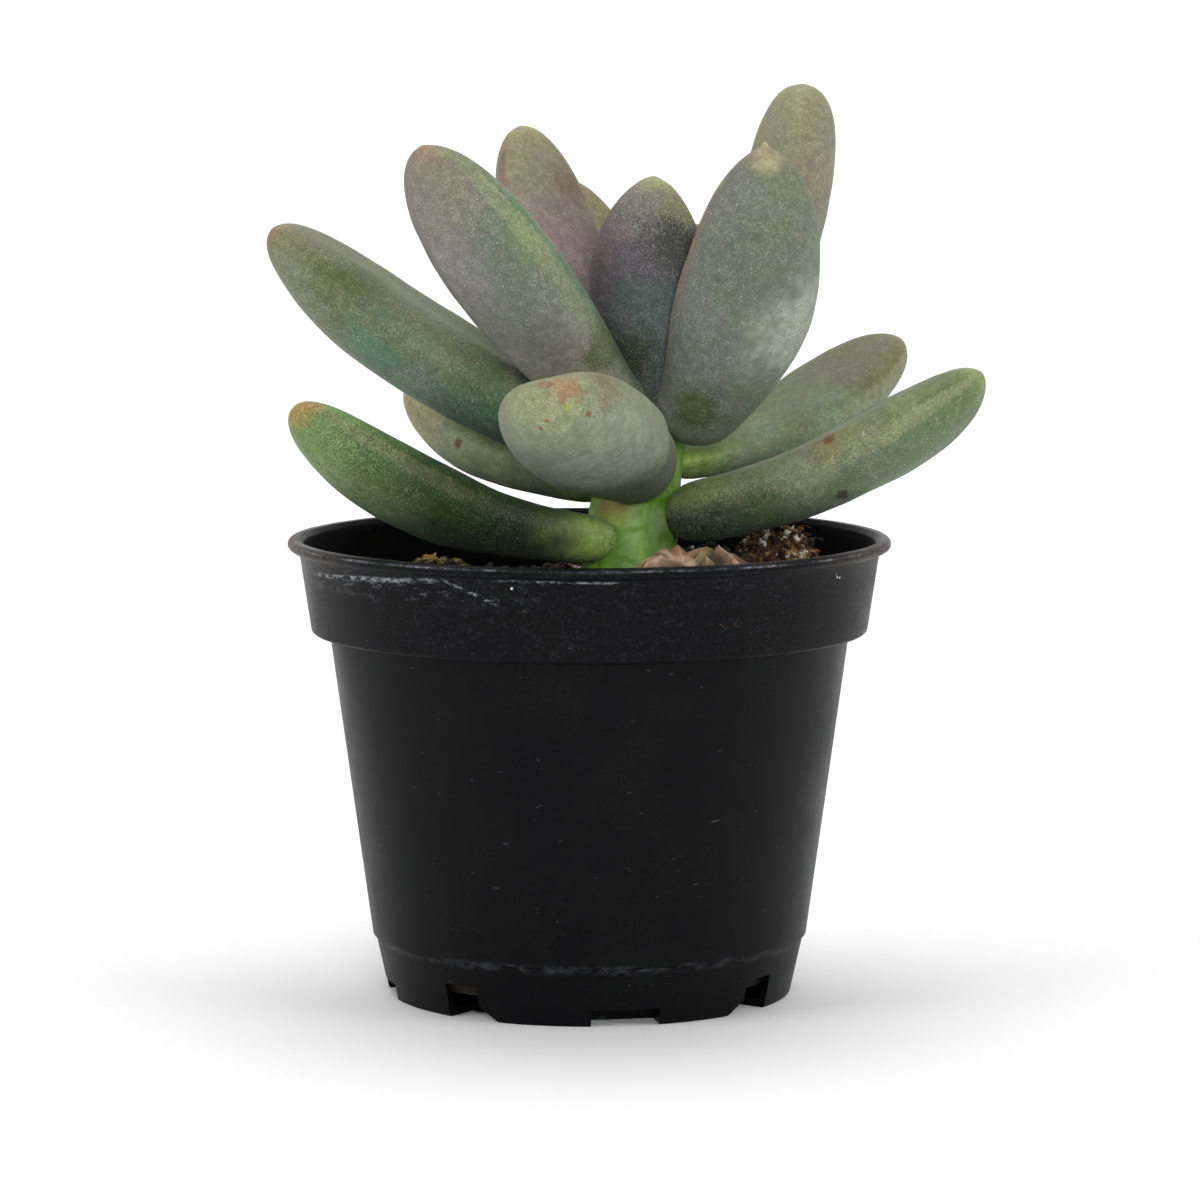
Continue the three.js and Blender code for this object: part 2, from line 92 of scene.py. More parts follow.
# Leaves, oldest first. around, out and height are where a leaf starts on the stem: its direction, its share
# of the stem's radius, and its height. rise is the slope at the base and at the tip, belly the share of the
# length where a leaf is widest, neck its narrowness at the base; tip and point shape the end's outline.
LEAF_COLUMNS = (
    "name around out height length width thick rise heading sway roll belly neck tip point"
).split()
LEAVES = [
    ("leaf_01_low_left", 244, 0.74, 77.8, 61.5, 21.5, 12, (-0.5, 46.5), 193, 6, 13, 0.62, 0.47, 2.1, 2.1),
    ("leaf_02_low_right", 323, 0.9, 81.2, 59, 19, 13, (9.5, 40.5), 353, 0, 0, 0.66, 0.6, 2, 2),
    ("leaf_03_low_back_left", 146, 0.75, 86, 44.5, 19, 12, (7, 34), 147, 0, -12, 0.6, 0.44, 1.8, 2),
    ("leaf_04_front", 286, 0.62, 89, 51, 24, 15.5, (14, 22), 243, 13, 14, 0.5, 0.6, 2.6, 2.4),
    ("leaf_05_right", 28, 0.76, 89, 51.3, 20, 10.5, (8, 39.5), 27, 8, 8, 0.66, 0.36, 2, 2),
    ("leaf_06_left", 174, 0.53, 92, 70.6, 21, 15.6, (20, 44), 176, 0, -8, 0.52, 0.56, 2.2, 2.3),
    ("leaf_07_front_right", 323, 0.98, 95, 55, 24, 13, (40, 92), 316, -20, -18, 0.5, 0.6, 1.9, 1.85),
    ("leaf_08_back", 75, 0.6, 94.5, 60.5, 18, 12, (28, 60), 105, 13, 0, 0.6, 0.45, 2, 2),
    ("leaf_09_front_left", 240, 0.49, 95.5, 63.5, 26, 15, (41, 58), 209, 0, 7, 0.57, 0.49, 2.2, 2),
    ("leaf_10_upper_right", 4, 0.87, 96.5, 61.5, 21, 14, (53.5, 86.5), 13, 0, 4, 0.62, 0.45, 2.8, 2.5),
    ("leaf_11_upper_left", 112, 0.48, 98, 56.5, 18.8, 12, (42, 78), 140, 0, -9, 0.6, 0.45, 2, 2),
    ("leaf_12_inner_front", 300, 0.6, 98, 42, 20.5, 11, (58, 108), 249, 0, 16, 0.57, 0.45, 1.6, 1.75),
    ("leaf_13_low_back", 69, 0.74, 88.5, 47, 19, 12, (5, 34), 76, 0, 0, 0.62, 0.45, 2, 2),
    ("leaf_14_inner_back_right", 46, 0.68, 100, 33, 13, 8, (55, 72), 72, 0, 0, 0.55, 0.5, 2, 2),
    ("leaf_15_inner_left", 142, 0.4, 101.5, 25, 11, 7, (66, 88), 175, 0, 0, 0.55, 0.5, 2, 2),
    ("leaf_16_inner_right", 350, 0.75, 102, 19, 9, 6, (78, 96), 345, 0, 0, 0.55, 0.5, 2, 2),
    ("leaf_17_young_back", 88, 0.52, 103, 14, 7, 4.5, (70, 88), 115, 0, 0, 0.55, 0.5, 2, 2),
    ("leaf_18_young_front", 251, 0.46, 103.5, 9, 5, 3.5, (78, 90), 230, 0, 0, 0.55, 0.5, 2, 2),
]
# The small point at the tip and a crest along the under face, for the leaves that differ, by number
LEAF_ENDS = {
    4: dict(nub=0.8, nub_at=(3.3, -2.8)),
    7: dict(nub=0.9, crest=0.045, crest_at=0.6),
    9: dict(nub=0.3, crest=0.04, crest_at=-0.15),
    12: dict(nub=0.15),
}
LEAF_END_DEFAULTS = dict(nub=0.12, nub_at=(0, 0), crest=0.0, crest_at=0.0)
NUB_RADIUS = 0.8
SECTION = Values(upper_share=0.4, side_fullness=0.92, upper_fullness=0.8, lower_fullness=0.95)
HEEL_LENGTH = 0.12
THICK_NECK = 0.2

# Dried leaf on the soil, and the clod
DRIED_LEAF = Values(
    x=16.2, y=-14, length=20.5, width=9, end_width=0.3, turn=8, columns=18, rows=12,
    crumple=1.05, wall=0.35, sharp_angle=13,
)
# The dried leaf's heights at columns along it, from its front edge over the ridge to its back edge
DRIED_COLUMNS = (-1.0, -0.72, -0.6, -0.45, -0.15, 0.02, 0.2, 0.52, 0.62, 0.82, 1.0)
DRIED_ROWS = {
    -1.0: (0.0, 0.1, 0.3, 0.0, 0.4, 0.2, 0.0, 0.5, 0.1, 0.3, 0.0),
    -0.52: (1.4, 3.0, 2.4, 3.6, 4.3, 4.2, 2.6, 4.2, 3.0, 4.0, 2.6),
    -0.26: (1.9, 3.4, 4.1, 5.2, 4.2, 3.2, 5.0, 4.6, 5.3, 4.8, 3.8),
    0.0: (2.3, 4.1, 4.9, 5.7, 6.7, 5.8, 6.1, 6.9, 6.2, 6.1, 5.0),
    0.3: (1.6, 3.2, 4.4, 4.2, 5.2, 4.5, 4.2, 5.2, 4.2, 4.2, 3.2),
    1.0: (0.0, 0.3, 0.0, 0.4, 0.1, 0.3, 0.0, 0.2, 0.4, 0.1, 0.0),
}
DRIED_LEAN = 0.22
CLOD = Values(x=32.3, y=18, width=12.5, depth=12, height=9.2, below=0.4)

# Lights: name, place and size in metres, beam in degrees, watts
LIGHTS = [
    ("key", (-1.0, -0.5, 0.5), (0.6, 0.6), 90, 1.5),
    ("front", (0.12, -1.2, 0.4), (0.4, 0.3), 60, 0.8),
    ("fill", (1.0, -0.4, 0.45), (0.6, 0.6), 90, 1.2),
    ("top", (0.0, 0.4, 1.3), (1.4, 1.0), 150, 6.5),
    ("backdrop", (0.0, 0.75, 1.5), (1.6, 0.5), 150, 15),
]
PLANT_TARGET = (0, 0, 0.1)
BACKDROP_TARGET = (0, 1.7, 0.7)
WORLD = Values(front=0.02, back=0.6)

# Floor, in millimetres: a flat stretch from front to back, a bend behind it, and a wall
FLOOR = Values(front=-3000, back=1100, bend=700, top=2600, half_width=3500)


def mix(a, b, share):
    return a + (b - a) * share


def smooth(share):
    share = np.clip(share, 0, 1)
    return share * share * (3 - 2 * share)


def bell(distance, width):
    """A smooth hump: 1 at distance 0, near 0 at twice the width."""
    return np.exp(-(distance / width) ** 2)


# Meshes

def placed(name, data):
    """A new object in the scene."""
    thing = bpy.data.objects.new(name, data)
    bpy.context.scene.collection.objects.link(thing)
    return thing


def placed_mesh(name, places, faces):
    """A new smooth-shaded object from places in millimetres."""
    mesh = bpy.data.meshes.new(name)
    mesh.from_pydata([tuple(p) for p in np.asarray(places) * MM], [], [tuple(f) for f in faces])
    mesh.validate()
    mesh.shade_smooth()
    return placed(name, mesh)


def mesh_piece(name, places, faces):
    """The same, as a piece of the part that rides on the root."""
    piece = placed_mesh(name, places, faces)
    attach(piece, "root")
    return piece


def add_attribute(piece, name, values, kind="POINT"):
    layer = piece.data.attributes.new(name, "FLOAT", kind)
    layer.data.foreach_set("value", np.asarray(values, dtype=np.float32))


def loft_faces(rings, sides):
    """Faces of a skin over rings whose first and last places are the two end points."""
    faces = []
    last = rings * sides + 1
    for side in range(sides):
        other = (side + 1) % sides
        faces.append((0, 1 + other, 1 + side))
        for a in range(1, last - sides, sides):
            faces.append((a + side, a + other, a + sides + other, a + sides + side))
        faces.append((last - sides + side, last - sides + other, last))
    return faces


def wobble(places, size, seed):
    """Smooth noise from -1 to 1 at each place; size is its length in millimetres."""
    shift = Vector((seed * 7.3, seed * 3.1, seed * 5.7))
    return np.array([perlin(Vector(p) / size + shift) for p in places])


# Pot

def arc(centre_radius, centre_height, size, start, end, steps=5):
    angles = np.radians(np.linspace(start, end, steps))
    return [(centre_radius + size * math.cos(a), centre_height + size * math.sin(a)) for a in angles]


def pot_profile():
    p = POT
    lip_bottom = p.height - p.lip_depth
    half_lip = p.lip_depth / 2
    turn = p.rounding
    step = p.collar_bottom + p.wall
    inner, outer, slope = RECESS.inner_radius, RECESS.outer_radius, RECESS.slope
    recess_top = RECESS.height + p.floor
    return [
        (0.01, 0), (inner, 0), (inner + slope, RECESS.height), (outer - slope, RECESS.height), (outer, 0),
        *arc(p.foot_radius - 0.4, 0.4, 0.4, -90, 0),
        (p.ledge_radius - p.ledge_depth, p.ledge_height - 0.15),
        (p.ledge_radius, p.ledge_height + 0.15),
        (p.wall_top_radius - 0.05, p.collar_bottom - 0.4),
        (p.wall_top_radius + 0.3, p.collar_bottom),
        *arc(p.collar_bottom_radius - turn, p.collar_bottom + turn, turn, -90, 0),
        (p.collar_top_radius - 0.1, lip_bottom - 0.7),
        (p.collar_top_radius + 0.3, lip_bottom - 0.15),
        (p.lip_radius - half_lip - 0.2, lip_bottom),
        *arc(p.lip_radius - half_lip, p.height - half_lip, half_lip, -90, 90, 9),
        (p.lip_radius - p.lip_width, p.height - 0.05),
        (p.collar_top_radius - p.wall + 0.3, lip_bottom + 1),
        (p.collar_top_radius - p.wall, lip_bottom),
        (p.collar_bottom_radius - p.wall, step),
        (p.wall_top_radius - p.wall, step),
        (p.ledge_radius - p.wall, p.ledge_height),
        (p.foot_radius - p.wall, p.floor),
        (outer + p.floor / 2, p.floor), (outer - slope, recess_top), (inner + slope, recess_top),
        (inner - p.floor / 2, p.floor), (0.01, p.floor),
    ]


def refine(profile, longest):
    """The same outline with its long straight stretches divided."""
    fine = [profile[0]]
    for (r0, z0), (r1, z1) in zip(profile, profile[1:]):
        steps = max(1, math.ceil(math.hypot(r1 - r0, z1 - z0) / longest))
        fine += [(mix(r0, r1, i / steps), mix(z0, z1, i / steps)) for i in range(1, steps + 1)]
    return fine


def turned(profile, sides):
    """A closed solid of revolution about the pot's axis."""
    angles = np.linspace(0, 2 * math.pi, sides, endpoint=False)
    places = [(0, 0, profile[0][1])]
    for radius, height in profile:
        places += [(radius * math.cos(a), radius * math.sin(a), height) for a in angles]
    places.append((0, 0, profile[-1][1]))
    return np.array(places), loft_faces(len(profile), sides)


def foot_cutter(name, angle, outline):
    """A prism through the foot, pushed out from the axis at an angle."""
    turn = Matrix.Rotation(math.radians(angle), 3, "Z")
    inner = [turn @ Vector((across, -OPENING_REACH.inner, up)) for across, up in outline]
    outer = [turn @ Vector((across, -OPENING_REACH.outer, up)) for across, up in outline]
    count = len(outline)
    faces = [tuple(range(count)), tuple(range(2 * count - 1, count - 1, -1))]
    faces += [(i, i + count, (i + 1) % count + count, (i + 1) % count) for i in range(count)]
    mesh = bpy.data.meshes.new(name)
    mesh.from_pydata([tuple(p * MM) for p in inner + outer], [], faces)
    fixed = bmesh.new()
    fixed.from_mesh(mesh)
    bmesh.ops.recalc_face_normals(fixed, faces=fixed.faces)
    fixed.to_mesh(mesh)
    fixed.free()
    return placed(name, mesh)


def notch_outline(flare):
    half = NOTCH.width / 2
    wide = half + NOTCH.flare_width
    outline = [
        (-half, -1), (wide, -1), (wide, 0), (half, NOTCH.flare_height), (half, NOTCH.height),
        (-half, NOTCH.height),
    ]
    return [(across * flare, up) for across, up in outline]


def apply_modifiers(piece):
    graph = bpy.context.evaluated_depsgraph_get()
    result = bpy.data.meshes.new_from_object(piece.evaluated_get(graph))
    piece.modifiers.clear()
    piece.data = result


def build_pot():
    places, faces = turned(refine(pot_profile(), 4), POT.sides)
    pot = mesh_piece("pot", places, faces)
    half = SLOT.width / 2
    slot = [(-half, -1), (half, -1), (half, SLOT.height), (-half, SLOT.height)]
    cutters = [foot_cutter("notch_cutter", angle, notch_outline(flare)) for angle, flare in NOTCHES]
    cutters += [foot_cutter("slot_cutter", angle, slot) for angle in SLOT.angles]
    for cutter in cutters:
        cut = pot.modifiers.new(cutter.name, "BOOLEAN")
        cut.operation = "DIFFERENCE"
        cut.solver = "EXACT"
        cut.object = cutter
    apply_modifiers(pot)
    for cutter in cutters:
        bpy.data.objects.remove(cutter)
    pot.data.shade_smooth()
    pot.data.set_sharp_from_angle(angle=math.radians(POT.sharp_angle))
    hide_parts("nursery_pot")
    return pot


# Soil

def soil_height(x, y):
    distance = (x - SOIL.mound_x) ** 2 + (y - SOIL.mound_y) ** 2
    mound = SOIL.mound * np.exp(-distance / (2 * SOIL.mound_spread ** 2))
    ripple = np.sin(x / SOIL.ripple_length_x) * np.cos(y / SOIL.ripple_length_y)
    return SOIL.level + mound + SOIL.ripple * ripple


def pot_inner_radius(z):
    step = POT.collar_bottom + POT.wall
    if z > step:
        share = (z - POT.collar_bottom) / (POT.height - POT.collar_bottom)
        return mix(POT.collar_bottom_radius, POT.collar_top_radius, share) - POT.wall
    share = (z - POT.ledge_height) / (POT.collar_bottom - POT.ledge_height)
    return mix(POT.ledge_radius, POT.wall_top_radius, share) - POT.wall


def soil_grain(x, y):
    """Unevenness of the surface: heaps, clumps, crumbs and grit."""
    place = Vector((x, y, 0))
    heaps = 0
    for middle_x, middle_y, height, spread in HEAPS:
        distance = (x - middle_x) ** 2 + (y - middle_y) ** 2
        heaps += height * math.exp(-distance / (2 * spread ** 2))
    clumps = perlin(place / 5.5) * 0.75
    crumbs = abs(perlin(place / 1.7 + Vector((9, 4, 0)))) * 0.9
    grit = perlin(place / 0.6 + Vector((3, 8, 0))) * 0.28
    return heaps + clumps + crumbs + grit - 0.2


def build_soil():
    rings, sides = 120, 320
    gap = SOIL.clearance
    step = POT.collar_bottom + POT.wall
    foot = pot_inner_radius(POT.ledge_height) - gap
    edge = pot_inner_radius(SOIL.level) - 0.05
    outline = [
        (0.01, SOIL.bottom), (foot - SOIL.bottom_chamfer, SOIL.bottom), (foot, POT.ledge_height + gap),
        (pot_inner_radius(POT.collar_bottom) - gap, step + gap),
        (pot_inner_radius(step + gap) - gap, step + gap),
    ]
    wall = refine(outline, 6)
    surface = [(edge * radius, SOIL.level) for radius in np.linspace(1, 0.002, rings)]
    places, faces = turned(wall + surface, sides)
    first = 1 + len(wall) * sides
    for i in range(first, len(places)):
        x, y = places[i][:2]
        fade = min(1.0, (edge - math.hypot(x, y)) / 1.5 + 0.35)
        places[i][2] = soil_height(x, y) + fade * soil_grain(x, y)
    soil = mesh_piece("soil", places, faces)
    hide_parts("potting_soil")
    return soil


def ball(subdivisions):
    """Places and faces of an even ball of radius 1."""
    shape = bmesh.new()
    bmesh.ops.create_icosphere(shape, subdivisions=subdivisions, radius=1)
    places = [vertex.co.copy() for vertex in shape.verts]
    faces = [tuple(v.index for v in face.verts) for face in shape.faces]
    shape.free()
    return places, faces


def lump(rng, size, roughness, squash):
    """Places and faces of one small uneven grain around the origin."""
    ways, faces = ball(2)
    shift = Vector([rng.uniform(-50, 50) for _ in range(3)])
    turn = rng.uniform(0, math.tau)
    axis = Vector((rng.uniform(-1, 1), rng.uniform(-1, 1), rng.uniform(0.2, 1)))
    spin = Matrix.Rotation(turn, 3, axis)
    places = []
    for way in ways:
        grown = way * (1 + roughness * perlin(way * 1.9 + shift))
        places.append(spin @ Vector((grown.x, grown.y * squash[0], grown.z * squash[1])) * size)
    return places, faces


def joined(name, parts):
    """One piece from many small closed shapes, each a pair of places and faces."""
    places, faces = [], []
    for part_places, part_faces in parts:
        base = len(places)
        places += part_places
        faces += [tuple(base + i for i in face) for face in part_faces]
    piece = mesh_piece(name, places, faces)
    return piece


def on_soil(centre=(0, 0), spread=0):
    """A rule that seats grains on the soil, all over it or round a centre."""
    def seat(rng, size):
        while True:
            x, y = (rng.gauss(c, spread) if spread else rng.uniform(-46, 46) for c in centre)
            inside = math.hypot(x, y) < pot_inner_radius(SOIL.level) - size / 2 - 0.3
            off_stem = math.hypot(x - STEM.bottom_x, y - STEM.bottom_y) > STEM.bottom_radius + size / 2
            if inside and off_stem:
                return Vector((x, y, soil_height(x, y) + max(0, soil_grain(x, y)) + size * 0.15))
    return seat


def on_clod(lowest=-0.3, front=-1.0):
    """A rule that seats grains on the clod's skin, above a height and towards the viewer."""
    def seat(rng, size):
        while True:
            way = Vector([rng.gauss(0, 1) for _ in range(3)]).normalized()
            if way.z > lowest and -way.y > front:
                return clod_place(way) + way * size * 0.12
    return seat


def grains(name, seed, count, sizes, seat, squash=(0.8, 0.6), ragged=0.7):
    """Small uneven lumps, joined into one piece."""
    rng = random.Random(seed)
    parts = []
    for _ in range(count):
        size = mix(sizes[0], sizes[1], rng.random() ** 2.2)
        places, faces = lump(rng, size / 2, ragged, squash)
        place = seat(rng, size)
        parts.append(([p + place for p in places], faces))
    return joined(name, parts)


def fibres(name, seed, count, lengths, thickness, seat, rises=(0.05, 0.7)):
    """Thin bent fibres, joined into one piece."""
    rng = random.Random(seed)
    sides, steps = 5, 9
    parts = []
    for _ in range(count):
        heading = rng.uniform(0, math.tau)
        bend = rng.uniform(-1.6, 1.6)
        length = rng.uniform(*lengths)
        rise = rng.uniform(*rises)
        radius = rng.uniform(*thickness) / 2
        centre = seat(rng, 0.4)
        places = [centre.copy()]
        for i in range(steps):
            share = i / (steps - 1)
            turn = heading + bend * share
            along = Vector((math.cos(turn), math.sin(turn), rise * math.cos(math.pi * share))).normalized()
            across = Vector((-math.sin(turn), math.cos(turn), 0))
            upper = along.cross(across)
            thin = radius * (1 - 0.6 * share)
            for k in range(sides):
                a = math.tau * k / sides
                places.append(centre + (across * math.cos(a) + upper * math.sin(a)) * thin)
            centre = centre + along * (length / (steps - 1))
        places.append(centre)
        parts.append((places, loft_faces(steps, sides)))
    return joined(name, parts)


# Stem

def stem_at(z):
    share = max(0.0, (z - STEM.bottom) / (STEM.top - STEM.bottom))
    centre = np.array([
        mix(STEM.bottom_x, STEM.top_x, share ** STEM.lean),
        mix(STEM.bottom_y, STEM.top_y, share),
        z,
    ])
    return centre, mix(STEM.bottom_radius, STEM.top_radius, share ** STEM.taper)


def build_stem():
    rings, sides = 120, 96
    places = []
    for z in np.linspace(STEM.bottom, STEM.top, rings):
        centre, radius = stem_at(z)
        to_end = min(1.0, min(z - STEM.bottom, STEM.top - z) / 3)
        rounded = math.sqrt(1 - 0.6 * (1 - to_end) ** 2)
        for k in range(sides):
            a = math.tau * k / sides
            place = Vector((math.cos(a), math.sin(a), 0))
            scars = 0.0
            for height, middle, spread in STEM_SCARS:
                turn = math.remainder(a - math.radians(middle), math.tau) / math.radians(spread)
                off = z - height - 1.8 * turn ** 2
                scars += math.exp(-turn ** 4) * (0.16 * bell(off, 0.8) - 0.13 * bell(off + 0.9, 0.45))
            flutes = 0.22 * perlin(Vector((place.x * 1.6, place.y * 1.6, z / 14)))
            dents = 0.1 * perlin(Vector((place.x * 5, place.y * 5, z / 3)))
            r = radius * rounded + scars + flutes + dents
            places.append(centre + np.array(place) * r)
    places = np.vstack([stem_at(STEM.bottom)[0], *places, stem_at(STEM.top)[0]])
    stem = mesh_piece("stem_skin", places, loft_faces(rings, sides))
    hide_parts("stem")
    return stem


# Leaves

def leaf_directions(leaf, share):
    """Unit vectors at shares of the length: along the leaf, across it, and out of its upper face."""
    rise = np.radians(mix(leaf.rise[0], leaf.rise[1], share))
    heading = np.radians(leaf.heading + leaf.sway * share)
    along = np.stack([np.cos(rise) * np.cos(heading), np.cos(rise) * np.sin(heading), np.sin(rise)], -1)
    level = np.stack([-np.sin(heading), np.cos(heading), np.zeros_like(heading)], -1)
    roll = math.radians(leaf.roll)
    across = level * math.cos(roll) + np.cross(along, level) * math.sin(roll)
    return along, across, np.cross(along, across)


def leaf_path(leaf, shares):
    """Places of the middle line at shares of the length."""
    steps = 240
    centre, radius = stem_at(leaf.height)
    side = math.radians(leaf.around)
    start = centre + np.array([math.cos(side), math.sin(side), 0]) * leaf.out * radius
    along = leaf_directions(leaf, (np.arange(steps) + 0.5) / steps)[0]
    line = np.vstack([start, start + np.cumsum(along, 0) * leaf.length / steps])
    grid = np.linspace(0, 1, steps + 1)
    return np.stack([np.interp(shares, grid, line[:, i]) for i in range(3)], -1)


def leaf_size(leaf, share):
    """Half width and thickness at shares of the length."""
    past = np.clip((share - leaf.belly) / (1 - leaf.belly), 0, 1)
    cap = np.clip(1 - past ** leaf.tip, 0, 1) ** (1 / leaf.point)
    into_heel = 1 - np.clip(share / HEEL_LENGTH, 0, 1)
    heel = np.sqrt(np.clip(1 - into_heel ** 2.6, 0, 1))
    fullness = smooth(share / leaf.belly)
    thick_neck = min(1, leaf.neck + THICK_NECK)
    half = leaf.width / 2 * mix(leaf.neck, 1, fullness) * cap * heel
    thick = leaf.thick * mix(thick_neck, 1, fullness) * cap * heel
    return half, thick


def build_leaf(leaf, number):
    young = leaf.length < 30
    rings, sides = (48, 36) if young else (132, 80)
    u = (np.arange(rings) + 0.5) / rings
    share = (1 - np.cos(math.pi * u)) / 2
    along, across, upper = leaf_directions(leaf, share)
    middle = leaf_path(leaf, share)
    half, thick = leaf_size(leaf, share)
    angle = math.tau * np.arange(sides) / sides
    c, s = np.cos(angle), np.sin(angle)
    lateral = np.sign(c) * np.abs(c) ** SECTION.side_fullness
    above = SECTION.upper_share * np.abs(s) ** SECTION.upper_fullness
    below = -(1 - SECTION.upper_share) * np.abs(s) ** SECTION.lower_fullness
    lift = np.where(s > 0, above, below) + 0.5 - SECTION.upper_share

    far, side = share[:, None], c[None, :]
    upper_side = np.clip(s, 0, 1)[None, :]
    lower_side = np.clip(-s, 0, 1)[None, :]
    body = smooth((far - 0.08) / 0.3) * smooth((1 - far) / 0.12)
    # A shallow channel along the upper face, a keel under the tip and, on some leaves, a crest
    channel = 0.05 * bell(side, 0.42) * upper_side * body
    keel = 0.035 * bell(side, 0.16) * lower_side * smooth((far - 0.55) / 0.35)
    crest = leaf.crest * bell(side - leaf.crest_at, 0.14) * lower_side * body
    height = thick[:, None] * (lift[None, :] - channel - keel - crest)
    width = half[:, None] * lateral[None, :]
    centre_line = middle[:, None, :]
    places = centre_line + across[:, None, :] * width[..., None] + upper[:, None, :] * height[..., None]

    # The small point at the tip: the skin is drawn forward close to the axis
    nub_side, nub_lift = leaf.nub_at
    reach = np.hypot(width - nub_side, height - thick[:, None] * (0.5 - SECTION.upper_share) - nub_lift)
    end_reach = math.hypot(nub_side, nub_lift)
    forward = leaf.nub * bell(reach, NUB_RADIUS) * (far > 0.5)
    places = places + along[:, None, :] * forward[..., None]

    # Living unevenness: broad swellings and finer dimples, away from the middle line
    outward = places - centre_line
    outward /= np.maximum(np.linalg.norm(outward, axis=-1, keepdims=True), 1e-6)
    flat = places.reshape(-1, 3)
    soft = np.clip(half / 3, 0, 1)[:, None]
    swell = (wobble(flat, 13, number) * 0.34 + wobble(flat, 5, number + 30) * 0.12).reshape(rings, sides)
    places = places + outward * (swell * soft)[..., None]

    tip = middle[-1] + along[-1] * (leaf.nub * bell(end_reach, NUB_RADIUS) + 0.02)
    points = np.vstack([middle[0], places.reshape(-1, 3), tip])
    piece = mesh_piece(leaf.name.replace("leaf_", "skin_"), points, loft_faces(rings, sides))

    def spread(values, first, last):
        return np.concatenate([[first], np.broadcast_to(values, (rings, sides)).reshape(-1), [last]])

    add_attribute(piece, "along", spread(far, 0, 1))
    add_attribute(piece, "across", spread(side, 0, 0))
    add_attribute(piece, "face", spread(s, 0, 0))
    add_attribute(piece, "nub", spread(bell(reach, 1.1) * (far > 0.5), 0, bell(end_reach, 1.1)))
    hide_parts(leaf.name)
    return piece


# Dried leaf

def dried_height(along, across):
    """Height of the dried leaf's flat facets, at -1 to 1 of its length and width."""
    column = np.clip(along - DRIED_LEAN * across, -1, 1)
    rows = [np.interp(column, DRIED_COLUMNS, heights) for heights in DRIED_ROWS.values()]
    return float(np.interp(across, list(DRIED_ROWS), rows))


def build_dried_leaf():
    """A papery sheet of flat facets that meet in sharp folds."""
    d = DRIED_LEAF
    rng = random.Random(29)
    turn = math.radians(d.turn)
    columns, rows = d.columns, d.rows
    shape = bmesh.new()
    fold_shading = shape.verts.layers.float.new("fold_shading")
    shade = shape.faces.layers.float.new("shade")
    grid = {}
    for i in range(columns + 1):
        for j in range(rows + 1):
            loose = 0.32 if 0 < i < columns and 0 < j < rows else 0.0
            along = (i + rng.uniform(-loose, loose)) / columns * 2 - 1
            across = (j + rng.uniform(-loose, loose)) / rows * 2 - 1
            half = d.width / 2 * mix(d.end_width, 1, math.sqrt(max(0, 1 - along ** 2)))
            ragged = 1 + 0.25 * perlin(Vector((along * 5, across * 0.5, 5)))
            u, v = along * d.length / 2, across * half * ragged
            x = d.x + u * math.cos(turn) - v * math.sin(turn)
            y = d.y + u * math.sin(turn) + v * math.cos(turn)
            slope = min(1, abs(across) * 3 + 0.25) * (1 - abs(across))
            fold = rng.choice((-1, 1)) * rng.uniform(0.4, 1) * d.crumple * slope
            lift = max(0, dried_height(along, across) + fold)
            vertex = shape.verts.new((x, y, float(soil_height(x, y)) + 0.55 + lift))
            # The fold's offset is kept for painted shade in the hollows and a painted highlight on the
            # ridges
            vertex[fold_shading] = fold
            grid[i, j] = vertex
    for i in range(columns):
        for j in range(rows):
            a, b, c, e = grid[i, j], grid[i + 1, j], grid[i + 1, j + 1], grid[i, j + 1]
            for corners in (((a, b, c), (a, c, e)) if rng.random() < 0.5 else ((a, b, e), (b, c, e))):
                # Each facet gets its own brightness, painted light and shade as if lit at its own tilt
                shape.faces.new(corners)[shade] = rng.uniform(0.78, 1.15)
    bmesh.ops.subdivide_edges(shape, edges=shape.edges[:], cuts=5, use_grid_fill=True)
    bmesh.ops.triangulate(shape, faces=shape.faces[:])
    shape.normal_update()
    places, fold_shadings = [], []
    for index, vertex in enumerate(shape.verts):
        vertex.index = index
        creases = 0.04 * perlin(vertex.co / 0.9) + 0.012 * perlin(vertex.co / 0.35)
        places.append(vertex.co + vertex.normal * creases)
        fold_shadings.append(vertex[fold_shading])
    faces = [tuple(v.index for v in face.verts) for face in shape.faces]
    shades = [face[shade] for face in shape.faces]
    shape.free()
    leaf = mesh_piece("dried_leaf_skin", places, faces)
    add_attribute(leaf, "fold_shading", fold_shadings)
    add_attribute(leaf, "shade", shades, "FACE")
    wall = leaf.modifiers.new("wall", "SOLIDIFY")
    wall.thickness = d.wall * MM
    wall.offset = -1
    apply_modifiers(leaf)
    leaf.data.shade_smooth()
    leaf.data.set_sharp_from_angle(angle=math.radians(d.sharp_angle))
    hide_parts("dried_leaf")
    return leaf


# Clod

def clod_place(way):
    """Where the clod's skin is in a direction from its middle."""
    rough = 0.24 * perlin(way * 1.6 + Vector((2, 0, 0))) - 0.5 * max(0, 0.12 - abs(perlin(way * 2.4)))
    rough += 0.16 * perlin(way * 5) + 0.12 * abs(perlin(way * 9)) + 0.06 * perlin(way * 22)
    grown = way * (0.97 + rough)
    base = float(soil_height(CLOD.x, CLOD.y)) + 0.3
    return Vector((
        CLOD.x + grown.x * CLOD.width / 2,
        CLOD.y + grown.y * CLOD.depth / 2,
        base + CLOD.height * (CLOD.below + (1 - CLOD.below) * grown.z),
    ))


def build_clod():
    ways, faces = ball(6)
    clod = mesh_piece("clod_body", [clod_place(way) for way in ways], faces)
    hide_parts("soil_clod")
    return clod


# Materials

def colour(code):
    """A linear colour from a display colour written as RRGGBB."""
    parts = [int(code[i:i + 2], 16) / 255 for i in (0, 2, 4)]
    return (*[p / 12.92 if p <= 0.04045 else ((p + 0.055) / 1.055) ** 2.4 for p in parts], 1)


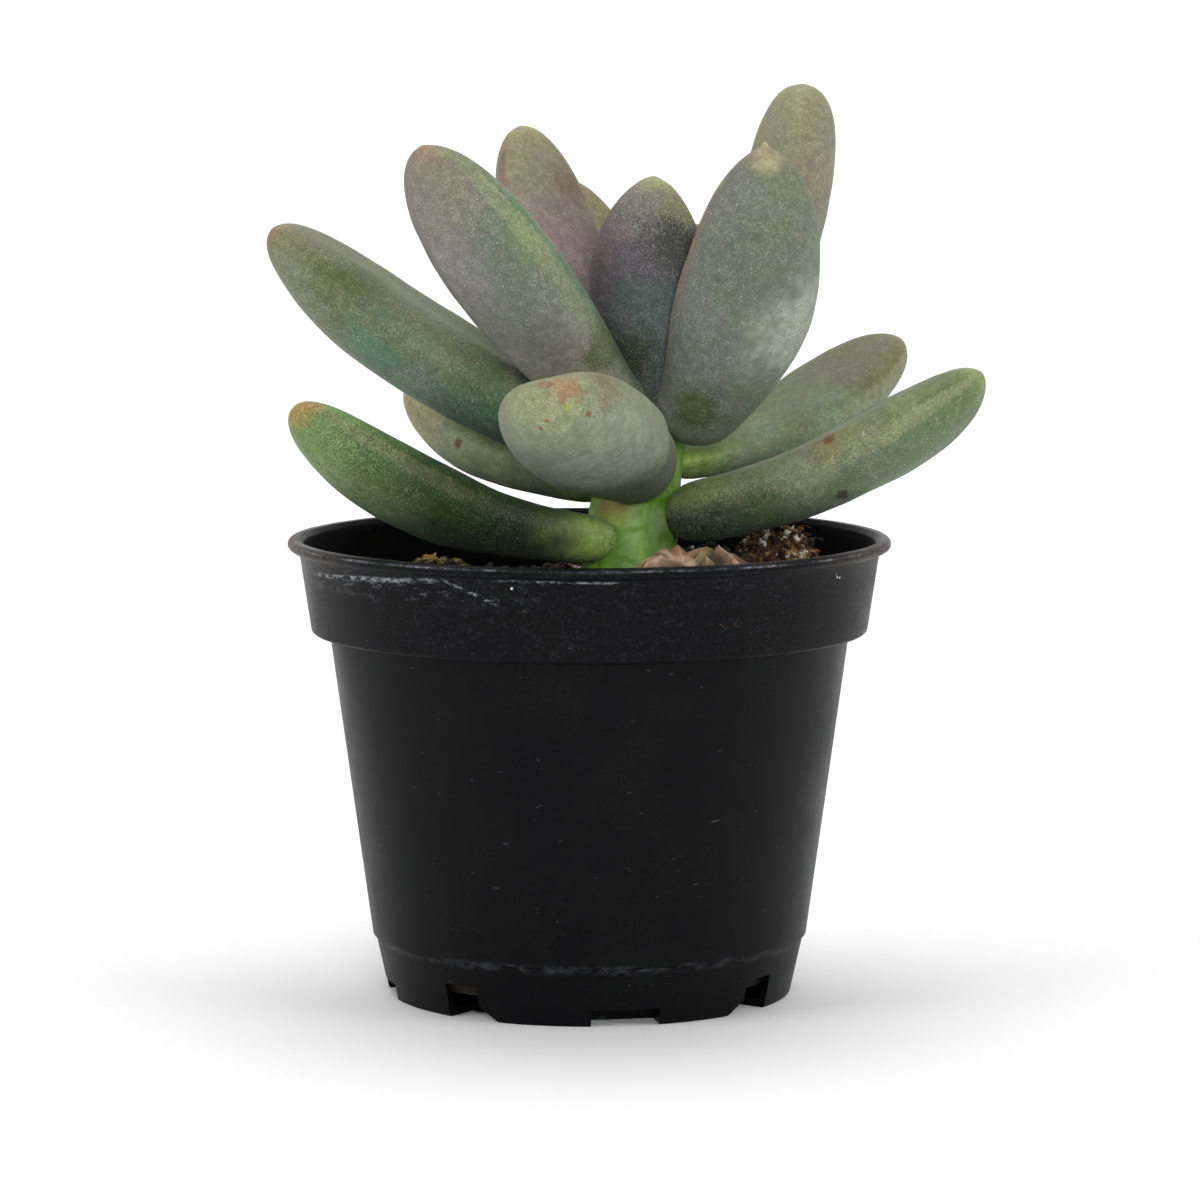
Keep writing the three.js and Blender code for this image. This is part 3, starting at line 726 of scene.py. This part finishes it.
class Shader:
    """The nodes of one material or world. Most methods add a node and give back one of its outputs."""

    def __init__(self, name, kind="materials", place="Object"):
        self.owner = getattr(bpy.data, kind).new(name)
        self.owner.use_nodes = True
        self.tree = self.owner.node_tree
        self.place = self.add("TexCoord", {}, place)

    def put(self, sockets, values):
        """Sets or links inputs, each named by its label or its number."""
        for key, value in values.items():
            if isinstance(value, bpy.types.NodeSocket):
                self.tree.links.new(value, sockets[key])
            else:
                sockets[key].default_value = value

    def add(self, kind, inputs, output=0, **settings):
        node = self.tree.nodes.new("ShaderNode" + kind)
        for key, value in settings.items():
            setattr(node, key, value)
        self.put(node.inputs, inputs)
        return node.outputs[output]

    def finish(self, **inputs):
        """Puts the skin and the other inputs on the surface, and gives back the material."""
        named = {name.replace("_", " "): value for name, value in inputs.items()}
        self.put(self.tree.nodes["Principled BSDF"].inputs, {"Base Color": self.skin, **named})
        return self.owner

    def attribute(self, name):
        return self.add("Attribute", {}, "Fac", attribute_name=name)

    def math(self, operation, a, b=0.0):
        return self.add("Math", {0: a, 1: b}, operation=operation)

    def times(self, first, *others):
        for other in others:
            first = self.math("MULTIPLY", first, other)
        return first

    def plus(self, first, *others):
        for other in others:
            first = self.math("ADD", first, other)
        return first

    def shifted(self, stretch, shift, seed):
        """Places in the object, stretched, and moved by the shift times the seed."""
        moved = [seed * step for step in shift]
        return self.add("Mapping", {"Vector": self.place, "Location": moved, "Scale": stretch})

    def noise(self, size, detail, roughness, stretch=(1, 1, 1), seed=0):
        """Noise from 0 to 1 whose features are about size millimetres across."""
        place = self.shifted(stretch, (0.37, 0.53, 0.71), seed)
        inputs = {"Vector": place, "Scale": 1 / (size * MM), "Detail": detail, "Roughness": roughness}
        return self.add("TexNoise", inputs, "Fac")

    def cells(self, size, seed):
        """Distance to the middle of the nearest of many cells."""
        place = self.shifted((1, 1, 1), (0.31, 0.47, 0.59), seed)
        return self.add("TexVoronoi", {"Vector": place, "Scale": 1 / (size * MM)}, "Distance")

    def ramp(self, value, low, high, start=0.0, end=1.0):
        """Smooth step of a value between two limits, scaled to run from start to end."""
        inputs = {"Value": value, "From Min": low, "From Max": high, "To Min": start, "To Max": end}
        return self.add("MapRange", inputs, interpolation_type="SMOOTHSTEP")

    def ramp_mm(self, value, low, high, start=0.0, end=1.0):
        return self.ramp(value, low * MM, high * MM, start, end)

    def within(self, value, none_below, all_from, all_to, none_above):
        """1 inside a stretch in millimetres, fading to 0 at both ends."""
        return self.times(self.ramp_mm(value, none_below, all_from), self.ramp_mm(value, none_above, all_to))

    def blend(self, a, b, share):
        return self.add("Mix", {0: share, 6: a, 7: b}, 2, data_type="RGBA", clamp_factor=True)

    def brighten(self, base, factor):
        """A colour times a grey factor."""
        return self.add("VectorMath", {0: base, "Scale": factor}, operation="SCALE")

    def start(self, dark, light, share):
        self.skin = self.blend(colour(dark), colour(light), share)

    def paint(self, tone, *shares):
        """A tone laid over the skin so far, as strong as the product of the shares."""
        self.skin = self.blend(self.skin, colour(tone), self.times(*shares))

    def shade(self, factor):
        self.skin = self.brighten(self.skin, factor)

    def centred(self, noise_value, size):
        """Noise moved to swing about zero and scaled."""
        return self.times(self.math("SUBTRACT", noise_value, 0.5), size)

    def patches(self, rows, uneven, spread=1.0, edge=0.45):
        """Round tones on the skin, each fading out at a radius that uneven noise makes ragged."""
        for x, y, z, radius, tone, strength in rows:
            size = radius * spread
            ends = {0: self.place, 1: (x * MM, y * MM, z * MM)}
            reach = self.add("VectorMath", ends, "Value", operation="DISTANCE")
            reach = self.plus(reach, self.centred(uneven, size * MM * 1.6))
            self.paint(tone, self.ramp_mm(reach, size * edge, size, 1, 0), strength)

    def bump(self, height, distance, strength, **under):
        """Relief of a depth in millimetres, on top of another bump if Normal gives one."""
        return self.add("Bump", {"Height": height, "Distance": distance * MM, "Strength": strength, **under})


# Looks by leaf number: skin tones at the base, low down, in the middle and at the tip, on the upper and on
# the under face, then how the leaf's base, tip, edge and powder differ from the others'. The under-face
# tones are darker partly as painted shade, and leaves that lie in shade, as leaf 3, have lighter tones as
# painted light
LEAF_LOOKS = {
    1: dict(top="7c9a4c 2e431b 2b4617 749251", under="86a552 101c08 254314 668249", blush="b0803e",
        blush_from=0.955, nub="9fae58", mauve=0.1, deep=0.8, deep_tone="1a3812"),
    2: dict(top="70883c 8a9268 828862 5c6e34", under="1c3004 3c5032 5e7250 5c7045", base_to=0.2,
        blush="8c9c5c", blush_from=0.94, nub="a9b066", ridge="8c8f68", ridge_amount=0.6, deep_tone="2f5236",
        deep=0.45),
    3: dict(top="8fa058 8a9870 849068 a89a72", under="8fa058 8c9c72 7c8a66 9c956a", base_to=0.24,
        blush="a89670", blush_from=0.88, mauve=0.2),
    4: dict(top="5e7a30 94a27c 8f9d76 878d68", under="4e6822 4e5a42 8a987e 828c70", base_to=0.12,
        blush="8c9068", blush_from=0.9, nub="8f9a48", nub_amount=0.75, mauve=0.45),
    5: dict(top="90b64a 869a66 707a50 6c6a38", under="6a9030 7a9068 6e8860 7a7c54", blush="8c8660",
        mauve=0.4, ridge="8a8868", ridge_amount=0.5),
    6: dict(top="5f7d3a 64734e 727e56 747453", under="5f7d3a 476a50 587850 747a5a", base_to=0.14,
        blush="a8785a", blush_from=0.965, mauve=0.25, ridge="6f7250", deep=0.65, deep_tone="2a4c34"),
    7: dict(top="84a24c 7c8e74 74866c 788266", under="6c9a30 606c52 63745e 6c745a", base_to=0.14,
        blush="8c7a64", blush_from=0.95, nub="b3aa76", nub_amount=1.0, mauve=0.5, mauve_side=-0.1,
        ridge="86705c", ridge_amount=0.6),
    8: dict(top="5f7a34 5a5a34 66623c 7a7048", under="5f7a34 5a5a34 66623c 7a7048", base_to=0.2,
        blush="84704a", blush_from=0.92, mauve=0.15),
    9: dict(top="6f8848 6a7860 62785c 787e60", under="6f8848 8e8a7c 787a6c 807a68", base_to=0.12,
        blush="9c7862", blush_from=0.968, nub="b0987a", mauve=0.5, mauve_side=-0.14, ridge="88906a",
        ridge_amount=0.6, deep=0.5, deep_tone="335840"),
    10: dict(top="74914a 767860 858a6b 94926c", under="74914a 72735f 7b7a66 8a8864", base_to=0.15,
        blush="948f6a", mauve=0.35, ridge="86785c"),
    11: dict(top="6f8a44 947e82 96807e 948f6a", under="6f8a44 8c7878 927e75 948f6a", base_to=0.12,
        blush="9c9468", mauve=0.5, ridge="86605c", ridge_amount=0.6),
    12: dict(top="5f7d36 4a5652 4c4a50 868864", under="5f7d36 4a5652 4c4a50 868864", tip_from=0.78,
        base_to=0.14, blush="a0a26a", nub="aeb070", mauve=0.6, mauve_side=-0.2, deep=0.4,
        deep_tone="2f3c40", ridge="806058", ridge_amount=0.6),
}
LEAF_LOOK_DEFAULTS = dict(
    top="6f8f46 5f7048 6a7654 7e7c5c", under="6f8f46 566a44 627252 7a785a", tip_from=0.55, base_to=0.22,
    blush="8c8060", blush_from=0.93, nub="a89c70", nub_amount=0.6, mauve=0.3, mauve_side=0.0,
    ridge="858062", ridge_amount=0.4, deep=0.35, deep_tone="33523a",
)
# Broad tones, then small marks, by leaf number: place and radius in millimetres, tone and strength. The
# darkest broad tones, under overlapping leaves and near the stem, are painted shade
LEAF_WASHES = {
    1: [(-35, -20, 84, 9, "6f8458", 0.75), (-33, -24, 92, 8, "3a5a26", 0.5),
        (-24, -24, 87, 8, "2a4014", 0.6)],
    2: [(34, -15, 89, 6, "929a7c", 0.6), (29, -13, 84, 6, "4c6238", 0.6), (39, -14, 94, 4, "8c7a52", 0.5)],
    3: [(-14, 6, 87, 6, "94a07c", 0.6)],
    4: [(2, -45, 107, 5, "76664a", 0.75), (13, -24, 95, 6, "8c9c7a", 0.7), (-1, -35, 91, 9, "94a58c", 0.6)],
    5: [(40, 7, 98, 6, "7c9674", 0.6), (30, 4, 93, 5, "849680", 0.5)],
    6: [(-40, -6, 120, 8, "4c5a28", 0.75), (-36, -6, 111, 8, "5c8068", 0.55),
        (-29, -6, 103, 6, "7c8c82", 0.65), (-18, -7, 104, 6, "446a44", 0.6)],
    7: [(35, -17, 113, 11, "a4aa98", 0.75), (26, -25, 124, 9, "58624c", 0.65),
        (18, -14, 100, 5, "465026", 0.8), (29, -21, 142, 3.5, "b8ae88", 0.8)],
    9: [(-13, -28, 127, 10, "567054", 0.65), (-8, -27, 130, 6, "748a58", 0.45),
        (-21, -23, 123, 8, "8c8488", 0.55), (2, -17, 110, 5, "4e5430", 0.8)],
    10: [(40, -3, 138, 6, "8e7e6e", 0.5)],
    11: [(-3, 17, 137, 5, "7a5f52", 0.6), (-10, 14, 133, 6, "8c8c76", 0.5)],
    12: [(1, -11, 127, 7, "7e686e", 0.9), (14, -15, 126, 6, "3a3a34", 0.75),
        (9, -14, 116, 8, "50665f", 0.7), (6, -12, 109, 6, "303a20", 0.85)],
}
LEAF_MARKS = {
    2: [(39.9, -14.1, 95.2, 1.5, "7a4630", 0.8), (42.0, -14.1, 85.7, 1.6, "33211a", 0.9)],
    3: [(-22.4, 8.7, 92.6, 1.1, "5a3821", 0.9)],
    4: [(-3.9, -48.9, 106.6, 3.4, "a06c48", 0.6), (-7.1, -47.9, 106.6, 1.6, "8b5434", 0.55),
        (-6.7, -49.4, 101.2, 0.75, "7a4a2c", 0.85), (-7.7, -48.5, 99.8, 0.6, "7a4a2c", 0.8),
        (-0.2, -48.1, 102.0, 0.7, "7e4e2e", 0.85), (-5.3, -46.5, 97.7, 0.6, "8a5c3a", 0.7)],
}
MAUVE = "736870"
BLOOM = "aeb6a6"
SCUFF = "b4bbac"
SHEEN = "d7dbe0"


def leaf_material(leaf, number):
    look = Values(**{**LEAF_LOOK_DEFAULTS, **LEAF_LOOKS.get(number, {})})
    sh = Shader("skin_" + leaf.name)
    along, across, face, nub = (sh.attribute(name) for name in ("along", "across", "face", "nub"))
    broad = sh.noise(14, 2, 0.5, seed=number)
    patch = sh.noise(5.5, 3, 0.6, seed=number + 20)
    coarse = sh.noise(1.5, 3, 0.6, seed=number + 80)
    grain = sh.noise(0.3, 2, 0.6, seed=number + 60)
    dither = sh.centred(grain, 0.7)

    # Powder makes every change of tone a change in speckle
    place = sh.plus(along, sh.centred(broad, 0.5), sh.times(dither, 0.5))
    start = sh.plus(place, sh.centred(patch, 0.1))
    # Painted shade: the under face takes its own tones, mostly darker than the upper face's
    shades = []
    for tones in (look.under, look.top):
        base, low, middle, tip = (colour(tone) for tone in tones.split())
        lower = sh.blend(low, middle, sh.ramp(place, 0.2, 0.5))
        upper = sh.blend(lower, tip, sh.ramp(place, look.tip_from, 0.95))
        shades.append(sh.blend(upper, base, sh.ramp(start, look.base_to * 0.1, look.base_to, 1, 0)))
    side = sh.plus(face, sh.centred(patch, 0.4), sh.times(dither, 0.6))
    sh.skin = sh.blend(*shades, sh.ramp(side, -0.2, 0.35))
    flush = sh.plus(sh.times(patch, 0.6), sh.times(broad, 0.4), dither, sh.times(across, look.mauve_side))
    sh.paint(MAUVE, sh.ramp(flush, 0.38, 0.68, 0, look.mauve))
    loose = sh.plus(patch, dither)
    # Broad tones, the darkest of them painted shade under other leaves and near the stem
    sh.patches(LEAF_WASHES.get(number, ()), loose, 1.25, 0.2)

    # The line where the two faces meet, the tip, the marks and the nub
    edge = sh.plus(sh.math("ABSOLUTE", across), sh.centred(coarse, 0.03))
    sh.paint(look.ridge, sh.ramp(edge, 0.972, 0.995), sh.ramp(place, 0.3, 0.75, 0.25, 1), look.ridge_amount)
    end = sh.plus(along, sh.centred(patch, 0.1))
    sh.paint(look.blush, sh.ramp(end, look.blush_from - 0.02, 1.02, 0, 0.9))
    sh.patches(LEAF_MARKS.get(number, ()), coarse)
    sh.paint(look.nub, sh.ramp(nub, 0.3, 0.9, 0, look.nub_amount))

    # Deep green where the powder is thin, pale where it is thick, then small scuffs
    sh.paint(look.deep_tone, sh.ramp(grain, 0.49, 0.34), sh.ramp(patch, 0.42, 0.6, 0.35, look.deep))
    pale = sh.blend(sh.brighten(sh.skin, 1.38), colour(BLOOM), 0.2)
    thick = sh.times(sh.ramp(grain, 0.5, 0.66), sh.ramp(coarse, 0.35, 0.65, 0.35, 0.9))
    sh.skin = sh.blend(sh.skin, pale, thick)
    sh.shade(sh.ramp(coarse, 0.3, 0.7, 0.8, 1.04))
    wear_and_highlight_stretches = sh.ramp(patch, 0.54, 0.62)
    sh.paint(SCUFF, sh.ramp(sh.cells(2.1, number - 1), 0.05, 0.1, 1, 0), wear_and_highlight_stretches, 0.7)
    scratches = sh.noise(0.9, 2, 0.5, seed=number + 140, stretch=(1, 0.6, 0.14))
    sh.paint(SCUFF, sh.ramp(scratches, 0.72, 0.76), wear_and_highlight_stretches, 0.5)
    fine = sh.bump(sh.plus(sh.times(coarse, 1.4), grain), 0.09, 0.6)
    return sh.finish(
        Roughness=sh.ramp(coarse, 0.3, 0.7, 0.5, 0.64), Normal=fine, Specular_IOR_Level=0.3,
        Sheen_Weight=0.06, Sheen_Roughness=0.5, Sheen_Tint=colour(SHEEN),
    )


# Broad tones on the stem: place, radius, tone and strength
STEM_WASHES = [
    (3, -8, 84.5, 5.5, "7c6c24", 0.9), (12, -7, 85, 5, "52870e", 0.75), (8, -9, 78, 4.5, "7aa24a", 0.6),
    (12.5, -7.5, 80.5, 3.2, "9cb884", 0.75),
]


def stem_material():
    sh = Shader("stem_green")
    streaks = sh.noise(4, 4, 0.6, stretch=(1, 1, 0.25))
    cloudy = sh.noise(6, 3, 0.55, seed=4)
    grain = sh.noise(0.5, 2, 0.6, seed=8)
    sh.start("537e20", "6c9630", sh.ramp(streaks, 0.38, 0.62))
    sh.patches(STEM_WASHES, cloudy, 1.3, 0.1)
    sh.paint("9aab7c", sh.ramp(cloudy, 0.55, 0.78, 0, 0.5))
    sh.shade(sh.ramp(grain, 0.3, 0.7, 0.9, 1.1))
    sh.shade(sh.ramp(streaks, 0.35, 0.65, 0.92, 1.08))
    return sh.finish(Roughness=sh.ramp(cloudy, 0.3, 0.7, 0.42, 0.58), Normal=sh.bump(grain, 0.05, 0.4))


# A pale chalk tone, for the chalky streaks and for the painted highlight on the lip
CHALK_AND_HIGHLIGHT = "8c9098"
# Chalky lines on the pot's collar: x and height at both ends, half width and strength
CHALK_LINES = [
    (-45, -25, 73.2, 74.7, 0.6, 0.45), (-23, -15.5, 74.6, 71.4, 0.4, 0.35), (-14, 4, 75.2, 75.0, 0.3, 0.4),
]
# Pale flecks on the pot's collar: place and radius
POT_FLECKS = [
    (40.3, -27.3, 74.0, 0.28), (40.5, -27.0, 73.6, 0.3), (41.0, -26.3, 73.4, 0.26),
    (-12.4, -47.1, 74.0, 0.35), (-36.6, -32.2, 76.2, 0.4), (-22.2, -43.1, 74.3, 0.45),
]


def pot_material():
    sh = Shader("pot_plastic")
    x, y, height = (sh.add("SeparateXYZ", {0: sh.place}, axis) for axis in "XYZ")
    radius = sh.math("SQRT", sh.plus(sh.times(x, x), sh.times(y, y)))
    cloudy = sh.noise(14, 4, 0.6)
    grit = sh.noise(0.5, 3, 0.7, seed=9)
    coarse = sh.noise(2.6, 5, 0.72, seed=3, stretch=(1, 1, 1.8))
    sh.start("030305", "070809", sh.ramp(cloudy, 0.35, 0.7))
    sh.shade(sh.ramp(grit, 0.3, 0.7, 0.45, 1.9))

    # The collar's outer face, from the radius less the collar's slope times the height
    slope = (POT.collar_top_radius - POT.collar_bottom_radius) / (POT.height - POT.collar_bottom)
    skirt = POT.collar_bottom_radius - slope * POT.collar_bottom
    outside = sh.ramp_mm(sh.math("SUBTRACT", radius, sh.times(height, slope)), skirt - 0.8, skirt - 0.5)
    inside = sh.times(sh.ramp(outside, 1, 0), sh.ramp_mm(height, 62.3, 62.8))

    # Fine dust on the collar, and scuffs on the ledge
    high = sh.ramp_mm(height, 60, 64, 0.35, 1)
    dust = sh.times(sh.ramp(grit, 0.5, 0.66), sh.ramp(coarse, 0.42, 0.66), high)
    sh.paint("484b52", dust, outside, 0.25)
    sh.paint("6b6d70", sh.within(height, 8.6, 9.8, 10, 10.8), sh.ramp(coarse, 0.45, 0.62), 0.2)

    # Chalky streaks and lines under the lip, most of them at the front left
    streak = sh.ramp(sh.noise(2.4, 5, 0.75, seed=5, stretch=(0.55, 0.55, 2.2)), 0.52, 0.66)
    left = sh.ramp_mm(x, -4, -24, 0.12, 1)
    band = sh.within(height, 69.5, 73, 74.6, 76)
    sh.paint(CHALK_AND_HIGHLIGHT, streak, band, left, sh.ramp(grit, 0.4, 0.6), outside, 0.4)
    speckle = sh.ramp(sh.noise(0.9, 4, 0.75, seed=27, stretch=(0.5, 0.5, 1.4)), 0.45, 0.6)
    front = sh.times(sh.ramp_mm(y, 0, -8), outside)
    for x0, x1, z0, z1, wide, strength in CHALK_LINES:
        slant = (z1 - z0) / (x1 - x0)
        middle = sh.plus(sh.times(x, slant), (z0 - slant * x0) * MM)
        away = sh.math("ABSOLUTE", sh.math("SUBTRACT", height, middle))
        line = sh.times(sh.ramp_mm(away, wide, 0.2 * wide), sh.within(x, x0 - 1.5, x0 + 1, x1 - 1, x1 + 1.5))
        sh.paint("b4b8bc", line, speckle, front, strength)

    # Brown dust on the lip and, in patches, high on the collar, at both sides, where it is partly painted
    # reflection of the light the sides catch at a grazing angle
    to_side = sh.ramp_mm(sh.math("ABSOLUTE", x), 34, 50)
    on_lip = sh.times(sh.ramp_mm(radius, 49.2, 49.8), sh.ramp_mm(height, 75.2, 75.8))
    patchy = sh.times(sh.ramp(cloudy, 0.42, 0.6), sh.ramp_mm(height, 63, 74, 0, 0.16))
    amount = sh.math("MAXIMUM", patchy, sh.times(on_lip, 0.8))
    sh.paint("5c534c", to_side, sh.ramp(grit, 0.32, 0.6), amount, sh.ramp(outside, 0, 1, 0, 0.9))

    # A painted highlight along the lip's outer edge, speckled and brighter in stretches
    lip_highlight = sh.times(sh.ramp_mm(radius, 50.45, 50.6), sh.within(height, 76.75, 76.85, 77.05, 77.2))
    highlight_speckle = sh.ramp(sh.noise(0.7, 4, 0.75, seed=17, stretch=(1, 1, 1.6)), 0.42, 0.62, 0.15, 1)
    wear_and_highlight_stretches = sh.ramp(sh.noise(9, 3, 0.6, seed=23), 0.44, 0.62, 0.12, 1)
    # Painted highlight on the lip's outer edge
    sh.paint(CHALK_AND_HIGHLIGHT, lip_highlight, highlight_speckle, wear_and_highlight_stretches, 0.65)

    # Scratches and specks, painted shade on the inner wall, and flecks
    scratches = sh.noise(1.1, 2, 0.5, seed=13, stretch=(0.45, 0.45, 1.4))
    sh.paint("4a4d53", sh.ramp(scratches, 0.735, 0.76), 0.4)
    sh.paint("8c8f94", sh.ramp(sh.cells(3.6, 2), 0.02, 0.045, 1, 0), sh.ramp(cloudy, 0.57, 0.62))
    # Painted shade: the inner wall is darkened to three tenths of its tone
    sh.shade(sh.ramp(inside, 0, 1, 1, 0.3))
    sh.patches([(*fleck, "c9cbc8", 1.0) for fleck in POT_FLECKS], grit)
    rough = sh.plus(sh.ramp(cloudy, 0.3, 0.7, 0.36, 0.46), sh.times(dust, 0.3), sh.times(inside, 0.4))
    relief = sh.bump(grit, 0.02, 0.35, Normal=sh.bump(cloudy, 0.12, 0.4))
    return sh.finish(Roughness=rough, Normal=relief, Specular_IOR_Level=0.09)


def earth_material(name, dark, light, size, bump=0.4):
    """Soil, bark and the other rough grains, mottled between two tones."""
    sh = Shader(name)
    fine = sh.noise(size / 6, 3, 0.7, seed=3)
    sh.start(dark, light, sh.ramp(sh.noise(size, 5, 0.7), 0.38, 0.66))
    sh.shade(sh.ramp(fine, 0.3, 0.7, 0.6, 1.35))
    rough = sh.ramp(fine, 0.3, 0.7, 0.78, 0.9)
    return sh.finish(Roughness=rough, Normal=sh.bump(fine, bump, 0.8), Specular_IOR_Level=0.25)


def dried_leaf_material():
    sh = Shader("dried_leaf_paper")
    fold_shading = sh.attribute("fold_shading")
    veins = sh.noise(1.2, 4, 0.65, seed=5, stretch=(0.3, 1, 1))
    grain = sh.noise(0.4, 3, 0.7, seed=7)
    sh.start("7e6248", "8e7c4c", sh.ramp(sh.noise(5, 4, 0.6), 0.45, 0.6))
    sh.paint("96705c", sh.ramp(sh.noise(3.4, 3, 0.6, seed=11), 0.46, 0.6, 0, 0.8))
    sh.paint("6e4e34", sh.ramp(veins, 0.52, 0.68, 0, 0.55))
    # Painted shade in the hollows of the folds and a painted highlight on their ridges
    sh.paint("33200f", sh.ramp(fold_shading, 0.0, -0.5, 0, 0.9))
    sh.paint("cfae94", sh.ramp(fold_shading, 0.1, 0.6, 0, 0.8))
    # Painted light and shade: each flat facet has its own brightness, as if lit at its own tilt
    sh.shade(sh.attribute("shade"))
    sh.shade(sh.ramp(grain, 0.3, 0.7, 0.7, 0.95))
    return sh.finish(Roughness=sh.ramp(grain, 0.3, 0.7, 0.62, 0.8), Normal=sh.bump(veins, 0.12, 0.7))


def wear(piece, material):
    piece.data.materials.clear()
    piece.data.materials.append(material)


# Studio

def build_camera():
    camera = bpy.data.cameras.new("camera")
    camera.sensor_width = CAMERA.sensor
    camera.lens = CAMERA.focal_px / CAMERA.image_px * CAMERA.sensor
    camera.clip_start = 0.01
    holder = placed("camera", camera)
    holder.location = (0, -CAMERA.distance * MM, CAMERA.height * MM)
    holder.rotation_euler = (math.radians(90 - CAMERA.pitch), 0, math.radians(-CAMERA.yaw))
    bpy.context.scene.camera = holder


def build_floor():
    """A seamless sweep: flat under the pot, curving up far behind it."""
    profile = [(FLOOR.front, 0), (FLOOR.back, 0)]
    for a in np.linspace(0.1, math.pi / 2, 14):
        profile.append((FLOOR.back + FLOOR.bend * math.sin(a), FLOOR.bend * (1 - math.cos(a))))
    profile.append((FLOOR.back + FLOOR.bend, FLOOR.top))
    places = [(x, y, z) for y, z in profile for x in (-FLOOR.half_width, FLOOR.half_width)]
    faces = [(2 * i, 2 * i + 1, 2 * i + 3, 2 * i + 2) for i in range(len(profile) - 1)]
    floor = placed_mesh("floor", places, faces)
    paper = Shader("floor_paper")
    paper.skin = colour("fafafa")
    wear(floor, paper.finish(Roughness=0.9))


def build_world():
    """White surroundings that fade towards the dark room behind the camera."""
    sky = Shader("world", "worlds", "Generated")
    depth = sky.add("SeparateXYZ", {0: sky.place}, "Y")
    strength = sky.ramp(depth, -0.9, 0.2, WORLD.front, WORLD.back)
    sky.put(sky.tree.nodes["Background"].inputs, {"Color": (1, 1, 1, 1), "Strength": strength})
    bpy.context.scene.world = sky.owner


def build_lights():
    for name, place, size, beam, power in LIGHTS:
        light = bpy.data.lights.new(name, "AREA")
        light.shape = "RECTANGLE"
        light.size, light.size_y = size
        light.spread = math.radians(beam)
        light.energy = power
        holder = placed(name, light)
        holder.location = place
        target = Vector(BACKDROP_TARGET if name == "backdrop" else PLANT_TARGET)
        holder.rotation_euler = (target - Vector(place)).to_track_quat("-Z", "Y").to_euler()
    build_world()
    bpy.context.scene.view_settings.view_transform = "Standard"


def main():
    build_camera()
    build_floor()
    build_lights()

    wear(build_pot(), pot_material())
    wear(build_soil(), earth_material("peat", "0f0c0a", "2c221b", 3.5))
    wear(build_stem(), stem_material())
    for number, row in enumerate(LEAVES, 1):
        ends = {**LEAF_END_DEFAULTS, **LEAF_ENDS.get(number, {})}
        leaf = Values(**dict(zip(LEAF_COLUMNS, row)), **ends)
        wear(build_leaf(leaf, number), leaf_material(leaf, number))
    wear(build_dried_leaf(), dried_leaf_material())
    wear(build_clod(), earth_material("clod_peat", "33221a", "a98460", 1.8, bump=0.5))

    peat = earth_material("peat_crumbs", "17110d", "3d2d22", 2.2)
    perlite = earth_material("perlite", "bcb49c", "f4eedc", 1.2, bump=0.15)
    bark = earth_material("bark", "6e4620", "cc9a50", 1.3)
    straw = earth_material("straw", "6c5232", "b09468", 1.2)
    chips = earth_material("pale_chips", "6a5424", "b8a468", 1.0)
    crumbs = earth_material("clod_chips", "3c281a", "9c7448", 0.9)
    left, flat = (-27, 29), (0.75, 0.35)
    wear(grains("soil_crumbs", 3, 600, (0.8, 3.4), on_soil()), peat)
    wear(grains("soil_perlite", 7, 70, (0.6, 2.2), on_soil(), ragged=1.2), perlite)
    wear(grains("soil_bark", 11, 60, (1.0, 3.0), on_soil(), flat), bark)
    wear(grains("left_bark", 13, 26, (0.9, 2.8), on_soil(left, 3), (0.8, 0.6), 1.0), bark)
    wear(grains("left_chips", 12, 60, (0.6, 2.6), on_soil(left, 2.8), (0.8, 0.6), 1.0), chips)
    wear(grains("edge_bark", 14, 6, (0.9, 1.8), on_soil((-37.5, 24.5), 1.4), (0.5, 0.5), 1.2), bark)
    wear(grains("right_perlite", 15, 7, (0.5, 1.1), on_soil((20, 13), 2.4), ragged=1.3), perlite)
    wear(grains("right_crumbs", 16, 30, (0.8, 2.6), on_soil((21, 13), 3.5)), peat)
    wear(fibres("soil_fibres", 17, 90, (3, 9), (0.15, 0.35), on_soil((0, 0), 22)), straw)
    wear(grains("clod_bark", 19, 40, (0.5, 1.8), on_clod(), flat, 1.0), bark)
    wear(grains("clod_chips", 20, 240, (0.4, 1.8), on_clod(), flat, 1.1), crumbs)
    wear(grains("clod_crumbs", 21, 90, (0.6, 2.0), on_clod()), peat)
    wear(grains("clod_perlite", 23, 70, (0.35, 1.7), on_clod(-0.3, 0.2), (0.7, 0.5), 1.4), perlite)
    wear(fibres("clod_fibres", 25, 80, (1.2, 3.2), (0.12, 0.26), on_clod(0.1), (0.2, 1.2)), straw)


main()
